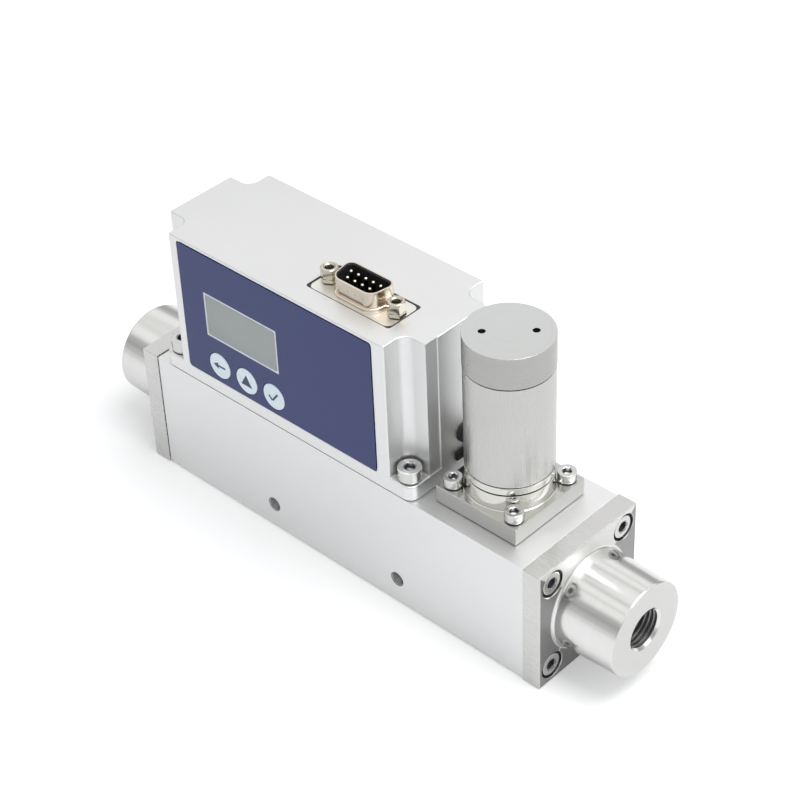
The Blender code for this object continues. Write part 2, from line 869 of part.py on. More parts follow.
def notch_outline(corners):
    """Outline of a corner notch from above, its inner corner milled to a radius."""
    outline = [corners[0], corners[1]]
    centre = notch_size - notch_radius
    for step in range(5):
        turn = math.pi / 2 * step / 4
        x = centre + notch_radius * math.cos(turn)
        y = centre + notch_radius * math.sin(turn)
        outline.append((x, y))
    outline.append(corners[3])
    return outline


def cut_front(cover):
    """Pocket for the overlay, opening for the display and holes for the keys."""
    front = along("-y", (0.0, cover_front, 0.0))
    clear = 2 * seat_gap
    outline = rectangle(
        overlay_width + clear, overlay_height + clear, overlay_radius, 3, overlay_x, overlay_z,
    )
    pocket = prism("overlay_pocket", outline, -overlay_pocket, seat_gap, front, cutters)
    shape_with(cover, pocket)
    outline = rectangle(
        window_width + clear, window_height + clear, window_radius, 2, screen_x, screen_z,
    )
    depth = cover_front_wall + seat_gap
    shape_with(cover, prism("window_opening", outline, -depth, seat_gap, front, cutters))
    for i in (-1, 0, 1):
        start = along("+y", (screen_x + key_x + i * key_pitch, cover_front - seat_gap, keys_z))
        reach = depth + 2 * seat_gap
        hole = rod(f"key_hole_{i}", key_radius + seat_gap, reach, start, middle_sides)
        shape_with(cover, hole)


def cut_roof(cover):
    """Stepped opening that the connector drops into, with holes for its jack posts."""
    clear = 2 * seat_gap
    outline = rectangle(
        connector_flange_length + clear, connector_flange_width + clear,
        connector_flange_radius, 3, connector_centre_x, connector_y,
    )
    pocket = prism(
        "connector_pocket", outline, connector_seat, cover_top + seat_gap, Matrix(), cutters,
    )
    shape_with(cover, pocket)
    outline = rectangle(
        connector_body_length + clear, connector_body_width + clear,
        connector_flange_radius, 3, connector_centre_x, connector_y,
    )
    body = prism(
        "connector_opening", outline, roof_inner - seat_gap, cover_top, Matrix(), cutters,
    )
    shape_with(cover, body)
    for side in (-1, 1):
        x = connector_centre_x + side * post_spacing / 2
        start = along("-z", (x, connector_y, connector_seat + seat_gap))
        radius = post_shank_radius + seat_gap
        hole = rod(f"post_hole_{side}", radius, cover_wall, start, tapping_sides)
        shape_with(cover, hole)


def cut_end_wall(cover):
    """Shallow recess in the end wall that faces the valve, and its two openings."""
    half = end_recess_width / 2
    low = (end_wall_face, -half, cover_bottom - seat_gap)
    high = (cover_high_x + seat_gap, half, cover_top - end_recess_top)
    shape_with(cover, box("end_recess", low, high, cutters))
    reach = cover_wall + 2 * seat_gap
    start = along("-x", (cover_high_x + seat_gap, wall_opening_y, wall_opening_z))
    hole = rod("grommet_hole", grommet_neck_radius + seat_gap, reach, start, small_sides)
    shape_with(cover, hole)
    side = plug_length / 2 - plug_lip + seat_gap
    rise = plug_height / 2 - plug_lip / 2 + seat_gap
    low = (cover_high_x - reach, wall_opening_y - side, plug_centre_z - rise)
    high = (cover_high_x + seat_gap, wall_opening_y + side, plug_centre_z + rise)
    shape_with(cover, box("plug_opening", low, high, cutters))


def housing_screws():
    """Four socket screws that hold the housing by its feet."""
    shank = foot_height + 2 * seat_gap + housing_screw_grip
    mesh = socket_screw_mesh(
        "housing_screw", m4_radius, m4_head_radius, m4_head_height, m4_socket_width, shank,
    )
    for i, (x, y) in enumerate(housing_screw_places()):
        place_at = Matrix.Translation((x, y, foot_top + seat_gap))
        finish(place(f"housing_screw_{i + 1}", mesh, parts, place_at), screw_steel)


def front_overlay():
    """Printed film in its pocket, cut out for the display and the keys."""
    front = along("-y", (0.0, 0.0, 0.0))
    outline = rectangle(overlay_width, overlay_height, overlay_radius, 3, overlay_x, overlay_z)
    film = prism("front_overlay", outline, -overlay_back, -overlay_front, front)
    clear = 2 * seat_gap
    outline = rectangle(
        window_width + clear, window_height + clear, window_radius, 2, screen_x, screen_z,
    )
    depth = overlay_thickness
    opening = prism(
        "overlay_window", outline, -overlay_back - depth, -overlay_front + depth, front, cutters,
    )
    shape_with(film, opening)
    for i in (-1, 0, 1):
        x = screen_x + key_x + i * key_pitch
        start = along("+y", (x, overlay_front - depth, keys_z))
        radius = key_radius + seat_gap
        hole = rod(f"overlay_key_hole_{i}", radius, 3 * depth, start, middle_sides)
        shape_with(film, hole)
    return finish(film, overlay_blue)


def display():
    """Clear window, display module behind it and the board that carries the module."""
    front = along("-y", (0.0, 0.0, 0.0))
    outline = rectangle(window_width, window_height, window_radius, 2, screen_x, screen_z)
    window = prism("display_window", outline, -front_inner, -overlay_front, front)
    finish(window, window_clear)

    outline = rectangle(
        display_module_width, display_module_height, window_radius, 2, screen_x, screen_z,
    )
    near = -(front_inner + seat_gap)
    far = -(board_front - seat_gap)
    module = prism("display_module", outline, far, near, front)
    outline = rectangle(
        window_width - 2 * window_radius, window_height, window_radius, 2, screen_x, screen_z,
    )
    bezel_depth = 2 * seat_gap
    view = prism(
        "display_view", outline, near - bezel_depth, near + bezel_depth, front, cutters,
    )
    shape_with(module, view)
    finish(module, display_grey)

    half = display_board_width / 2
    low = (screen_x - half, board_front, display_board_top - display_board_height)
    high = (screen_x + half, board_back, display_board_top)
    board = box("display_board", low, high)
    for i, (x, z) in enumerate(pillar_places()):
        start = along("+y", (x, board_front - seat_gap, z))
        reach = board_thickness + 2 * seat_gap
        hole = rod(f"board_hole_{i}", m3_radius, reach, start, tapping_sides)
        shape_with(board, hole)
    finish(board, board_green)


def pillar_places():
    """Places (x, z) of the cover's inner pillars, behind the corners of the display board."""
    half = display_board_width / 2 - pillar_inset
    low = display_board_top - display_board_height + pillar_inset
    high = display_board_top - pillar_inset
    return [(screen_x + side * half, z) for side in (-1, 1) for z in (low, high)]


def keys():
    """Three round keys behind the overlay's holes, each over a push switch on the board."""
    stem_end = board_front - seat_gap - switch_height - switch_button_height - key_travel
    rim_front = front_inner + seat_gap
    rim_back = rim_front + key_rim_thickness
    face = overlay_front - key_crown
    rim_radius = key_radius + key_rim
    profile = [
        (0.0, -face),
        (key_radius - key_crown, -face - key_crown),
        (key_radius, -face - 2 * key_crown),
        (key_radius, -rim_front),
        (rim_radius, -rim_front),
        (rim_radius, -rim_back),
        (key_stem_radius, -rim_back),
        (key_stem_radius, seat_gap - stem_end),
        (0.0, seat_gap - stem_end),
    ]
    names = ("key_back", "key_up", "key_accept")
    for i, name in enumerate(names):
        x = screen_x + key_x + (i - 1) * key_pitch
        key = turned(name, profile, along("-y", (x, 0.0, keys_z)), middle_sides)
        finish(key, key_white)
        switch(f"key_switch_{i + 1}", x)


def switch(name, x):
    """Push switch soldered to the display board."""
    half = switch_size / 2
    back = board_front - seat_gap
    body_front = back - switch_height
    low = (x - half, body_front, keys_z - half)
    high = (x + half, back, keys_z + half)
    body = box(name, low, high)
    start = along("-y", (x, body_front + seat_gap, keys_z))
    reach = switch_button_height + seat_gap
    button = rod(name + "_button", switch_button_radius, reach, start, screw_sides)
    shape_with(body, button, "UNION")
    finish(body, switch_black)


def main_board():
    """Control board under the connector, and the header that joins the two boards."""
    half = board_thickness / 2
    top = connector_flange_bottom - connector_body_depth - seat_gap
    low_x = cover_low_x + main_board_low_margin
    high_x = cover_high_x - main_board_high_margin
    low = (low_x, connector_y - half, top - main_board_height)
    high = (high_x, connector_y + half, top)
    board = box("main_board", low, high)
    finish(board, board_green)
    low = (
        screen_x - header_length / 2, board_back + seat_gap,
        top - main_board_height + header_height,
    )
    high = (
        screen_x + header_length / 2, connector_y - half - seat_gap,
        top - main_board_height + 2 * header_height,
    )
    finish(box("board_header", low, high), switch_black)


def d_outline(grow, steps=3):
    """Outline of the connector's shell: wide side at the back, its ends sloped."""
    length = connector_shell_length / 2 + grow
    width = connector_shell_width / 2 + grow
    narrow = length - 2 * width * math.tan(connector_slope)
    corners = [(-narrow, -width), (narrow, -width), (length, width), (-length, width)]
    return rounded(corners, connector_shell_radius + grow, steps)


def connector():
    """Nine-way plug connector: drawn shell, insulator with its contacts, two jack posts."""
    centre = Matrix.Translation((connector_centre_x, connector_y, 0.0))
    flange_bottom = connector_flange_bottom
    flange_top = connector_flange_top
    outline = rectangle(
        connector_flange_length, connector_flange_width, connector_flange_radius, 3,
    )
    shell = prism("connector_shell", outline, flange_bottom, flange_top, centre)
    skirt_bottom = flange_top - seat_gap
    skirt_top = flange_top + connector_skirt_height
    skirt = prism("shell_skirt", d_outline(connector_skirt), skirt_bottom, skirt_top, centre, cutters)
    bevel(skirt, connector_skirt - seat_gap, 2, 60.0)
    shape_with(shell, skirt, "UNION")
    rim = flange_top + connector_shell_height
    wall = prism("shell_wall", d_outline(0.0), skirt_bottom, rim, centre, cutters)
    shape_with(shell, wall, "UNION")
    inner = d_outline(-connector_shell_wall)
    bottom = flange_bottom - seat_gap
    shape_with(shell, prism("shell_inside", inner, bottom, rim + seat_gap, centre, cutters))
    for side in (-1, 1):
        x = connector_centre_x + side * post_spacing / 2
        start = along("+z", (x, connector_y, bottom))
        reach = connector_flange_thickness + 2 * seat_gap
        hole = rod(f"shell_hole_{side}", post_shank_radius + seat_gap, reach, start, tapping_sides)
        shape_with(shell, hole)
    finish(shell, nickel)

    outline = rectangle(
        connector_body_length, connector_body_width, connector_flange_radius, 3,
    )
    body_top = flange_bottom - seat_gap
    body_bottom = flange_bottom - connector_body_depth
    insulator = prism("connector_insulator", outline, body_bottom, body_top, centre)
    face = flange_top + seat_gap
    outline = d_outline(-connector_shell_wall - seat_gap)
    nose = prism("insulator_nose", outline, body_top - seat_gap, face, centre, cutters)
    shape_with(insulator, nose, "UNION")
    for i, (x, y) in enumerate(contact_places()):
        start = along("+z", (x, y, body_bottom - contact_tail))
        reach = contact_tail + face - body_bottom + contact_height
        contact = rod(f"contact_{i + 1}", contact_radius, reach, start, 6)
        shape_with(insulator, contact, "UNION")
    finish(insulator, insulator_black)
    jack_posts()


def contact_places():
    """Plan positions of the nine contacts: five behind, four in front."""
    places = []
    for row, count in ((1, 5), (-1, 4)):
        y = connector_y + row * contact_row_pitch / 2
        for i in range(count):
            x = connector_centre_x + (i - (count - 1) / 2) * contact_pitch
            places.append((x, y))
    return places


def jack_posts():
    """Hexagonal jack posts screwed through the connector's flange into the roof."""
    base = connector_flange_top + seat_gap
    top = base + post_height
    corner = post_width / 2 / math.cos(math.pi / 6)
    for i, side in enumerate((-1, 1)):
        x = connector_centre_x + side * post_spacing / 2
        name = f"jack_post_{i + 1}"
        start = along("+z", (x, connector_y, base))
        post = rod(name, corner, post_height, start, 6, parts)
        crown = [
            (0.0, post_height + seat_gap),
            (post_width / 2 - seat_gap, post_height + seat_gap),
            (corner + seat_gap, post_height - 3 * seat_gap),
            (corner + seat_gap, -seat_gap),
            (0.0, -seat_gap),
        ]
        tool = turned(name + "_crown", crown, start, middle_sides, False, cutters)
        shape_with(post, tool, "INTERSECT")
        below = along("-z", (x, connector_y, base + seat_gap))
        reach = post_shank_length + seat_gap
        shank = rod(name + "_shank", post_shank_radius, reach, below, tapping_sides)
        shape_with(post, shank, "UNION")
        mouth = along("-z", (x, connector_y, top + seat_gap))
        reach = post_bore_depth + seat_gap
        bore = rod(name + "_bore", post_bore_radius, reach, mouth, screw_sides)
        shape_with(post, bore)
        finish(post, nickel)


def valve_plate():
    """Square milled plate with the turned collar that carries the coil."""
    half = valve_plate_size / 2
    low = (valve_x - half, -half, valve_plate_bottom)
    high = (valve_x + half, half, valve_plate_top)
    plate = box("valve_plate", low, high)
    bevel(plate, valve_plate_edge)
    start = along("+z", (valve_x, 0.0, valve_plate_top - seat_gap))
    collar = rod("collar", valve_radius, collar_height + seat_gap, start, large_sides)
    shape_with(plate, collar, "UNION")
    under = along("+z", (valve_x, 0.0, valve_plate_bottom))
    stepped = [
        (0.0, valve_plate_thickness + collar_height + seat_gap),
        (guide_outer_radius + seat_gap, valve_plate_thickness + collar_height + seat_gap),
        (guide_outer_radius + seat_gap, guide_flange_height + seat_gap),
        (guide_flange_radius + seat_gap, guide_flange_height + seat_gap),
        (guide_flange_radius + seat_gap, -seat_gap),
        (0.0, -seat_gap),
    ]
    shape_with(plate, turned("plate_bore", stepped, under, middle_sides, False, cutters))
    for i, (a, b) in enumerate(four_corners(valve_screw_spacing)):
        start = along("-z", (valve_x + a, b, valve_plate_top + seat_gap))
        reach = valve_plate_thickness + 2 * seat_gap
        hole = rod(f"plate_hole_{i}", m3_radius + seat_gap, reach, start, tapping_sides)
        shape_with(plate, hole)
    return finish(plate, milled)


def valve_screws():
    """Four socket screws that hold the valve plate on the block."""
    shank = valve_plate_thickness + 2 * seat_gap + valve_screw_grip
    mesh = socket_screw_mesh(
        "valve_screw", m3_radius, m3_head_radius, m3_head_height, m3_socket_width, shank,
    )
    for i, (a, b) in enumerate(four_corners(valve_screw_spacing)):
        place_at = Matrix.Translation((valve_x + a, b, valve_plate_top + seat_gap))
        finish(place(f"valve_screw_{i + 1}", mesh, parts, place_at), screw_steel)


def coil_housing():
    """Ring slotted for the lead, coil can and screwed cap, stacked round the guide tube."""
    centre = along("+z", (valve_x, 0.0, 0.0))
    hole = guide_outer_radius + seat_gap
    profile = ring_profile(hole, valve_radius, ring_bottom, ring_top)
    ring = turned("valve_ring", profile, centre, large_sides, True)
    side = lead_radius + seat_gap
    low = (valve_x - valve_radius - seat_gap, wall_opening_y - side, wall_opening_z - side)
    high = (valve_x - guide_outer_radius, wall_opening_y + side, ring_top + seat_gap)
    shape_with(ring, box("lead_slot", low, high, cutters))
    finish(ring, stainless)

    inside = valve_radius - can_wall
    profile = [
        (inside, can_top),
        (valve_radius, can_top),
        (valve_radius, can_bottom + cap_edge),
        (valve_radius - cap_edge, can_bottom),
        (hole, can_bottom),
        (hole, can_bottom + can_floor),
        (inside, can_bottom + can_floor),
    ]
    finish(turned("coil_can", profile, centre, large_sides, True), stainless)

    spigot_radius = inside - seat_gap
    spigot_bottom = cap_bottom - cap_spigot
    stud_hole = stop_stud_radius + seat_gap
    stud_top = guide_top + stop_stud_length + 2 * seat_gap
    recess_radius = guide_outer_radius + seat_gap
    profile = [
        (0.0, cap_top),
        (cap_radius - cap_edge, cap_top),
        (cap_radius, cap_top - cap_edge),
        (cap_radius, cap_bottom),
        (spigot_radius, cap_bottom),
        (spigot_radius, spigot_bottom),
        (recess_radius, spigot_bottom),
        (recess_radius, guide_top + 2 * seat_gap),
        (stud_hole, guide_top + 2 * seat_gap),
        (stud_hole, stud_top),
        (0.0, stud_top),
    ]
    cap = turned("coil_cap", profile, centre, large_sides)
    for i in (0, 1):
        turn = spanner_angle + i * math.pi
        x = valve_x + spanner_hole_circle * math.cos(turn)
        y = spanner_hole_circle * math.sin(turn)
        start = along("-z", (x, y, cap_top + seat_gap))
        reach = spanner_hole_depth + seat_gap
        hole = rod(f"spanner_hole_{i}", spanner_hole_radius, reach, start, screw_sides)
        shape_with(cap, hole)
    finish(cap, stainless)


def coil():
    """Winding on its bobbin, inside the can."""
    centre = along("+z", (valve_x, 0.0, 0.0))
    hole = guide_outer_radius + seat_gap
    bottom = can_bottom + can_floor + seat_gap
    top = bottom + bobbin_height
    core = hole + bobbin_wall
    profile = [
        (hole, top),
        (bobbin_radius, top),
        (bobbin_radius, top - bobbin_wall),
        (core, top - bobbin_wall),
        (core, bottom + bobbin_wall),
        (bobbin_radius, bottom + bobbin_wall),
        (bobbin_radius, bottom),
        (hole, bottom),
    ]
    finish(turned("coil_bobbin", profile, centre, small_sides, True), bobbin_plastic)
    low = bottom + bobbin_wall + seat_gap
    high = top - bobbin_wall - seat_gap
    profile = ring_profile(core + seat_gap, winding_radius, low, high)
    finish(turned("coil_winding", profile, centre, middle_sides, True), copper)


def valve_inside():
    """Guide tube, fixed stop, plunger with its spring, and the seat in the block."""
    centre = along("+z", (valve_x, 0.0, 0.0))
    bottom = valve_plate_bottom
    flange_top = bottom + guide_flange_height
    profile = [
        (guide_bore_radius, guide_top),
        (guide_outer_radius, guide_top),
        (guide_outer_radius, flange_top),
        (guide_flange_radius, flange_top),
        (guide_flange_radius, bottom),
        (guide_bore_radius, bottom),
    ]
    finish(turned("guide_tube", profile, centre, middle_sides, True), stainless)

    slide_radius = guide_bore_radius - seat_gap
    profile = [
        (0.0, guide_top + stop_stud_length),
        (stop_stud_radius, guide_top + stop_stud_length),
        (stop_stud_radius, guide_top + seat_gap),
        (slide_radius, guide_top + seat_gap),
        (slide_radius, stop_bottom),
        (0.0, stop_bottom),
    ]
    finish(turned("core_stop", profile, centre, middle_sides), magnetic_steel)

    spring_floor = plunger_top - plunger_spring_depth
    tip_top = plunger_bottom + plunger_tip_length
    profile = [
        (plunger_spring_bore, plunger_top),
        (slide_radius, plunger_top),
        (slide_radius, tip_top + slide_radius - plunger_tip_radius),
        (plunger_tip_radius, tip_top),
        (plunger_tip_radius, plunger_bottom),
        (0.0, plunger_bottom),
    ]
    profile = [(0.0, spring_floor), (plunger_spring_bore, spring_floor), *profile]
    finish(turned("plunger", profile, centre, middle_sides), magnetic_steel)
    plunger_spring(spring_floor)

    profile = [
        (orifice_radius, seat_top),
        (seat_lip_radius, seat_top),
        (seat_lip_radius, seat_top - 3 * seat_gap),
        (seat_radius, seat_top - 3 * seat_gap),
        (seat_radius, seat_bottom),
        (orifice_radius, seat_bottom),
    ]
    finish(turned("valve_seat", profile, centre, small_sides, True), stainless)


def plunger_spring(floor):
    """Compression spring between the plunger and the stop, its end coils closed up."""
    bottom = floor + spring_wire_radius + seat_gap
    top = stop_bottom - spring_wire_radius - seat_gap
    count = int(spring_turns * spring_points)
    closed = 2 * spring_wire_radius + seat_gap
    points = []
    for i in range(count + 1):
        turn = i / spring_points
        middle = min(max((turn - 1.0) / (spring_turns - 2.0), 0.0), 1.0)
        ends = closed * (min(turn, 1.0) + max(turn - spring_turns + 1.0, 0.0))
        height = bottom + ends + (top - bottom - 2 * closed) * middle
        angle = math.tau * turn
        x = valve_x + spring_radius * math.cos(angle)
        y = spring_radius * math.sin(angle)
        points.append((x, y, height))
    finish(tube("plunger_spring", points, spring_wire_radius), spring_steel)


def valve_lead():
    """Lead from the control board to the coil, its grommet, and a blanking plug below it."""
    wall = along("+x", (end_wall_face, wall_opening_y, wall_opening_z))
    hole = lead_radius + seat_gap
    lip_low = seat_gap
    lip_high = seat_gap + grommet_lip
    profile = [
        (hole, lip_low),
        (grommet_mouth_radius, lip_high),
        (grommet_radius - rubber_edge, lip_high),
        (grommet_radius, lip_high - rubber_edge),
        (grommet_radius, lip_low),
        (grommet_neck_radius, lip_low),
        (grommet_neck_radius, end_recess_depth - cover_wall - seat_gap),
        (hole, end_recess_depth - cover_wall - seat_gap),
    ]
    finish(turned("lead_grommet", profile, wall, small_sides, True), rubber)

    board_face = connector_y + board_thickness / 2 + seat_gap + lead_radius
    run_x = end_wall_face
    run_y = wall_opening_y
    run_z = wall_opening_z
    start_x = run_x - lead_run_in - lead_bend_length
    route = []
    for step in range(lead_points + 1):
        part = step / lead_points
        swing = part * part * (3 - 2 * part)
        x = start_x + part * lead_bend_length
        y = board_face + swing * (run_y - board_face)
        route.append(Vector((x, y, run_z + (1 - swing) * lead_drop)))
    route.append(Vector((run_x, run_y, run_z)))
    route.append(Vector((valve_x - valve_radius, run_y, run_z)))
    route.append(Vector((valve_x - valve_radius + lead_end_depth, run_y, run_z)))
    finish(tube("valve_lead", smooth_route(route, 2), lead_radius), lead_sheath)

    half = plug_length / 2
    rise = plug_height / 2
    low = (end_wall_face + seat_gap, wall_opening_y - half, plug_centre_z - rise)
    high = (end_wall_face + seat_gap + plug_lip, wall_opening_y + half, plug_centre_z + rise)
    plug = box("wall_plug", low, high)
    bevel(plug, seat_gap)
    neck_side = half - plug_lip
    neck_rise = rise - plug_lip / 2
    low = (
        end_wall_face - cover_wall + end_recess_depth, wall_opening_y - neck_side,
        plug_centre_z - neck_rise,
    )
    high = (
        end_wall_face + 2 * seat_gap, wall_opening_y + neck_side, plug_centre_z + neck_rise,
    )
    shape_with(plug, box("plug_neck", low, high, cutters), "UNION")
    finish(plug, rubber)


def sensor():
    """Thermal sensor: base on the block, bent capillary with two windings, and its can."""
    base_bottom = block_top + seat_gap
    half_length = sensor_base_length / 2
    half_width = sensor_base_width / 2
    low = (sensor_x - half_length, sensor_y - half_width, base_bottom)
    high = (sensor_x + half_length, sensor_y + half_width, sensor_base_top)
    base = box("sensor_base", low, high)
    for side in (-1, 1):
        x = sensor_x + side * sensor_port_spacing / 2
        start = along("-z", (x, sensor_y, sensor_base_top + seat_gap))
        reach = sensor_base_height + 2 * seat_gap
        radius = sensor_tube_radius + seat_gap
        port = rod(f"base_port_{side}", radius, reach, start, tapping_sides)
        shape_with(base, port)
    finish(base, stainless)

    half = sensor_port_spacing / 2
    rise = sensor_base_top + sensor_tube_rise
    foot = base_bottom + sensor_tube_foot
    points = [Vector((sensor_x - half, sensor_y, foot))]
    for side, start, end in ((-1, math.pi, math.pi / 2), (1, math.pi / 2, 0.0)):
        centre_x = sensor_x + side * (half - sensor_tube_bend)
        for step in range(5):
            turn = start + (end - start) * step / 4
            x = centre_x + sensor_tube_bend * math.cos(turn)
            z = rise - sensor_tube_bend + sensor_tube_bend * math.sin(turn)
            points.append(Vector((x, sensor_y, z)))
    points.append(Vector((sensor_x + half, sensor_y, foot)))
    finish(tube("sensor_tube", points, sensor_tube_radius), stainless)
    for i, side in enumerate((-1, 1)):
        x = sensor_x + side * sensor_winding_spacing / 2
        x -= sensor_winding_length / 2
        profile = ring_profile(
            sensor_tube_radius + seat_gap, sensor_winding_radius, 0.0, sensor_winding_length,
        )
        place_at = along("+x", (x, sensor_y, rise))
        winding = turned(f"sensor_winding_{i + 1}", profile, place_at, screw_sides, True)
        finish(winding, copper)

    inset = sensor_can_inset
    bottom = sensor_base_top + seat_gap
    low = (sensor_x - half_length + inset, sensor_y - half_width + inset / 2, bottom)
    high = (
        sensor_x + half_length - inset, sensor_y + half_width - inset / 2,
        bottom + sensor_can_height,
    )
    can = box("sensor_can", low, high)
    bevel(can, sensor_can_wall)
    wall = Vector((sensor_can_wall, sensor_can_wall, 0.0))
    low_inside = Vector(low) + wall - Vector((0.0, 0.0, sensor_can_wall))
    high_inside = Vector(high) - wall - Vector((0.0, 0.0, sensor_can_wall))
    shape_with(can, box("sensor_can_inside", low_inside, high_inside, cutters))
    finish(can, stainless)


flow_block()
end_flange("inlet_flange", -1)
end_flange("outlet_flange", 1)
flange_screws()
face_seals()
flow_element()
housing_cover()
housing_screws()
front_overlay()
display()
keys()
main_board()
connector()
valve_plate()
valve_screws()
coil_housing()
coil()
valve_inside()
valve_lead()
sensor()
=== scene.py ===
"""Mass flow controller: the looks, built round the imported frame. Metres, +Z up."""
import math

import bpy
from mathutils import Euler, Matrix, Vector


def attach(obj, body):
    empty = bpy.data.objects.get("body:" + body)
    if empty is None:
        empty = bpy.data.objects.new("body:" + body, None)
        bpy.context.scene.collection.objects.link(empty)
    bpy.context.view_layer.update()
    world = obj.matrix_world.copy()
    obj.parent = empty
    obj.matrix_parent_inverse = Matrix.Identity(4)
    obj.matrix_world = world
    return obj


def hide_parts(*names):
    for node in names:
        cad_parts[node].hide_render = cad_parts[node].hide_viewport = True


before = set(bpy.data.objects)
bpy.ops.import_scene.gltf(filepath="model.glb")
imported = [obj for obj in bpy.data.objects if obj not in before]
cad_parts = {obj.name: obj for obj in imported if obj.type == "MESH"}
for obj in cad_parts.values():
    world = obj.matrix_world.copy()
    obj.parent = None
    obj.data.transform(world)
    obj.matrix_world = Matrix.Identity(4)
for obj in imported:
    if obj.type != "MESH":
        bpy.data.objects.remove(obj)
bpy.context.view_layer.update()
scene = bpy.context.scene
scene.view_settings.view_transform = "Standard"

# Camera: a long lens above the outlet end, turned a little off level, as the photo was taken.
eye = bpy.data.cameras.new("camera")
eye.lens = 98.72
eye.sensor_width = 36.0
eye.clip_start = 0.01
camera = bpy.data.objects.new("camera", eye)
camera.location = (0.35131, -0.34535, 0.43321)
camera.rotation_euler = Euler([math.radians(a) for a in (51.965, 2.0503, 43.0926)], "XYZ")
scene.collection.objects.link(camera)
scene.camera = camera


# Floor: a plain white sweep. It shows white to the camera, the more so far out, and only its
# shadows are grey; the metal mirrors it as a pale board, a little lifted.
def fed(tree, node, inputs):
    """Set a node's inputs to values, or link them from other nodes' sockets."""
    for socket, value in inputs.items():
        if isinstance(value, bpy.types.NodeSocket):
            tree.links.new(value, node.inputs[socket])
        else:
            node.inputs[socket].default_value = value
    return node


def added(tree, kind, inputs=None, operation=None):
    """A new node with its operation and its inputs."""
    node = tree.nodes.new(kind)
    if operation:
        node.operation = operation
    return fed(tree, node, inputs or {})


def reckon(tree, operation, *values):
    """One step of arithmetic on numbers or sockets."""
    return added(tree, "ShaderNodeMath", dict(enumerate(values)), operation).outputs[0]


def where(tree):
    """Object coordinates."""
    return added(tree, "ShaderNodeTexCoord").outputs["Object"]


def emptied(owner):
    """The node tree of a new material or world, with nothing in it."""
    owner.use_nodes = True
    owner.node_tree.nodes.clear()
    return owner.node_tree


WHITE = (1.0, 1.0, 1.0, 1.0)
bpy.ops.object.select_all(action="DESELECT")
bpy.ops.mesh.primitive_plane_add(size=6.0, location=(0.0, 0.0, -0.0002))
floor = bpy.context.object
floor.name = "floor"
sweep = bpy.data.materials.new("white_sweep")
tree = emptied(sweep)
ray = added(tree, "ShaderNodeLightPath").outputs
distance = added(tree, "ShaderNodeVectorMath", {0: where(tree)}, "LENGTH").outputs["Value"]
brighter = added(tree, "ShaderNodeMapRange", {
    "Value": distance, "From Min": 0.22, "From Max": 0.75, "To Min": 0.27, "To Max": 0.62,
}).outputs["Result"]
to_metal = reckon(tree, "MULTIPLY", ray["Is Glossy Ray"], 0.08)
to_camera = reckon(tree, "MULTIPLY_ADD", ray["Is Camera Ray"], brighter, to_metal)
board = added(tree, "ShaderNodeBsdfDiffuse", {"Color": (0.80, 0.80, 0.80, 1.0)})
lift = added(tree, "ShaderNodeEmission", {"Color": WHITE, "Strength": to_camera})
both = added(tree, "ShaderNodeAddShader", {0: board.outputs[0], 1: lift.outputs[0]})
added(tree, "ShaderNodeOutputMaterial", {"Surface": both.outputs[0]})
floor.data.materials.append(sweep)

# Studio: a white room for the camera and for soft light. Polished metal sees grey bands in
# it, leaning a little to the back, which draw the streaks along the round bosses.
BAND_START = -0.10
BANDS = (
    (-0.10, 0.86), (0.00, 0.66), (0.06, 0.50), (0.14, 0.58), (0.20, 0.42), (0.28, 0.38),
    (0.36, 0.54), (0.39, 0.44), (0.43, 0.46), (0.47, 0.72), (0.52, 0.96), (0.68, 1.00),
    (0.70, 0.64), (0.72, 0.64), (0.74, 1.00), (0.842, 1.00), (0.856, 0.50), (0.872, 0.50),
    (0.886, 0.96), (1.00, 1.00),
)
room = bpy.data.worlds.new("studio")
scene.world = room
tree = emptied(room)
direction = added(tree, "ShaderNodeTexCoord").outputs["Generated"]
leaning = added(tree, "ShaderNodeVectorMath", {0: direction, 1: (0.0, 0.1, 1.0)}, "DOT_PRODUCT")
height = added(tree, "ShaderNodeMapRange", {
    "Value": leaning.outputs["Value"], "From Min": BAND_START,
})
bands = added(tree, "ShaderNodeValToRGB", {0: height.outputs["Result"]})
ramp = bands.color_ramp
while len(ramp.elements) < len(BANDS):
    ramp.elements.new(0.5)
for element, (rise, level) in zip(ramp.elements, BANDS):
    element.position = (rise - BAND_START) / (1.0 - BAND_START)
    element.color = (level, level, level * 0.995, 1.0)
mirrored = added(tree, "ShaderNodeBackground", {"Color": bands.outputs[0], "Strength": 1.07})
soft = added(tree, "ShaderNodeBackground", {"Color": (0.97, 0.985, 1.0, 1.0), "Strength": 0.66})
white = added(tree, "ShaderNodeBackground", {"Color": WHITE})
ray = added(tree, "ShaderNodeLightPath").outputs
metal_sees = added(tree, "ShaderNodeMixShader", {
    0: ray["Is Glossy Ray"], 1: soft.outputs[0], 2: mirrored.outputs[0],
})
camera_sees = added(tree, "ShaderNodeMixShader", {
    0: ray["Is Camera Ray"], 1: metal_sees.outputs[0], 2: white.outputs[0],
})
added(tree, "ShaderNodeOutputWorld", {"Surface": camera_sees.outputs[0]})

LAMP_AIM = Vector((0.0, 0.0, 0.04))
for name, place, size, power in (
    ("top_soft_box", (0.40, 0.14, 1.12), 0.75, 9.5),
    ("side_soft_box", (1.00, 0.30, 0.50), 0.6, 0.8),
):
    lamp = bpy.data.lights.new(name, "AREA")
    lamp.size = size
    lamp.energy = power
    box = bpy.data.objects.new(name, lamp)
    box.location = place
    box.rotation_euler = (LAMP_AIM - Vector(place)).to_track_quat("-Z", "Y").to_euler()
    scene.collection.objects.link(box)


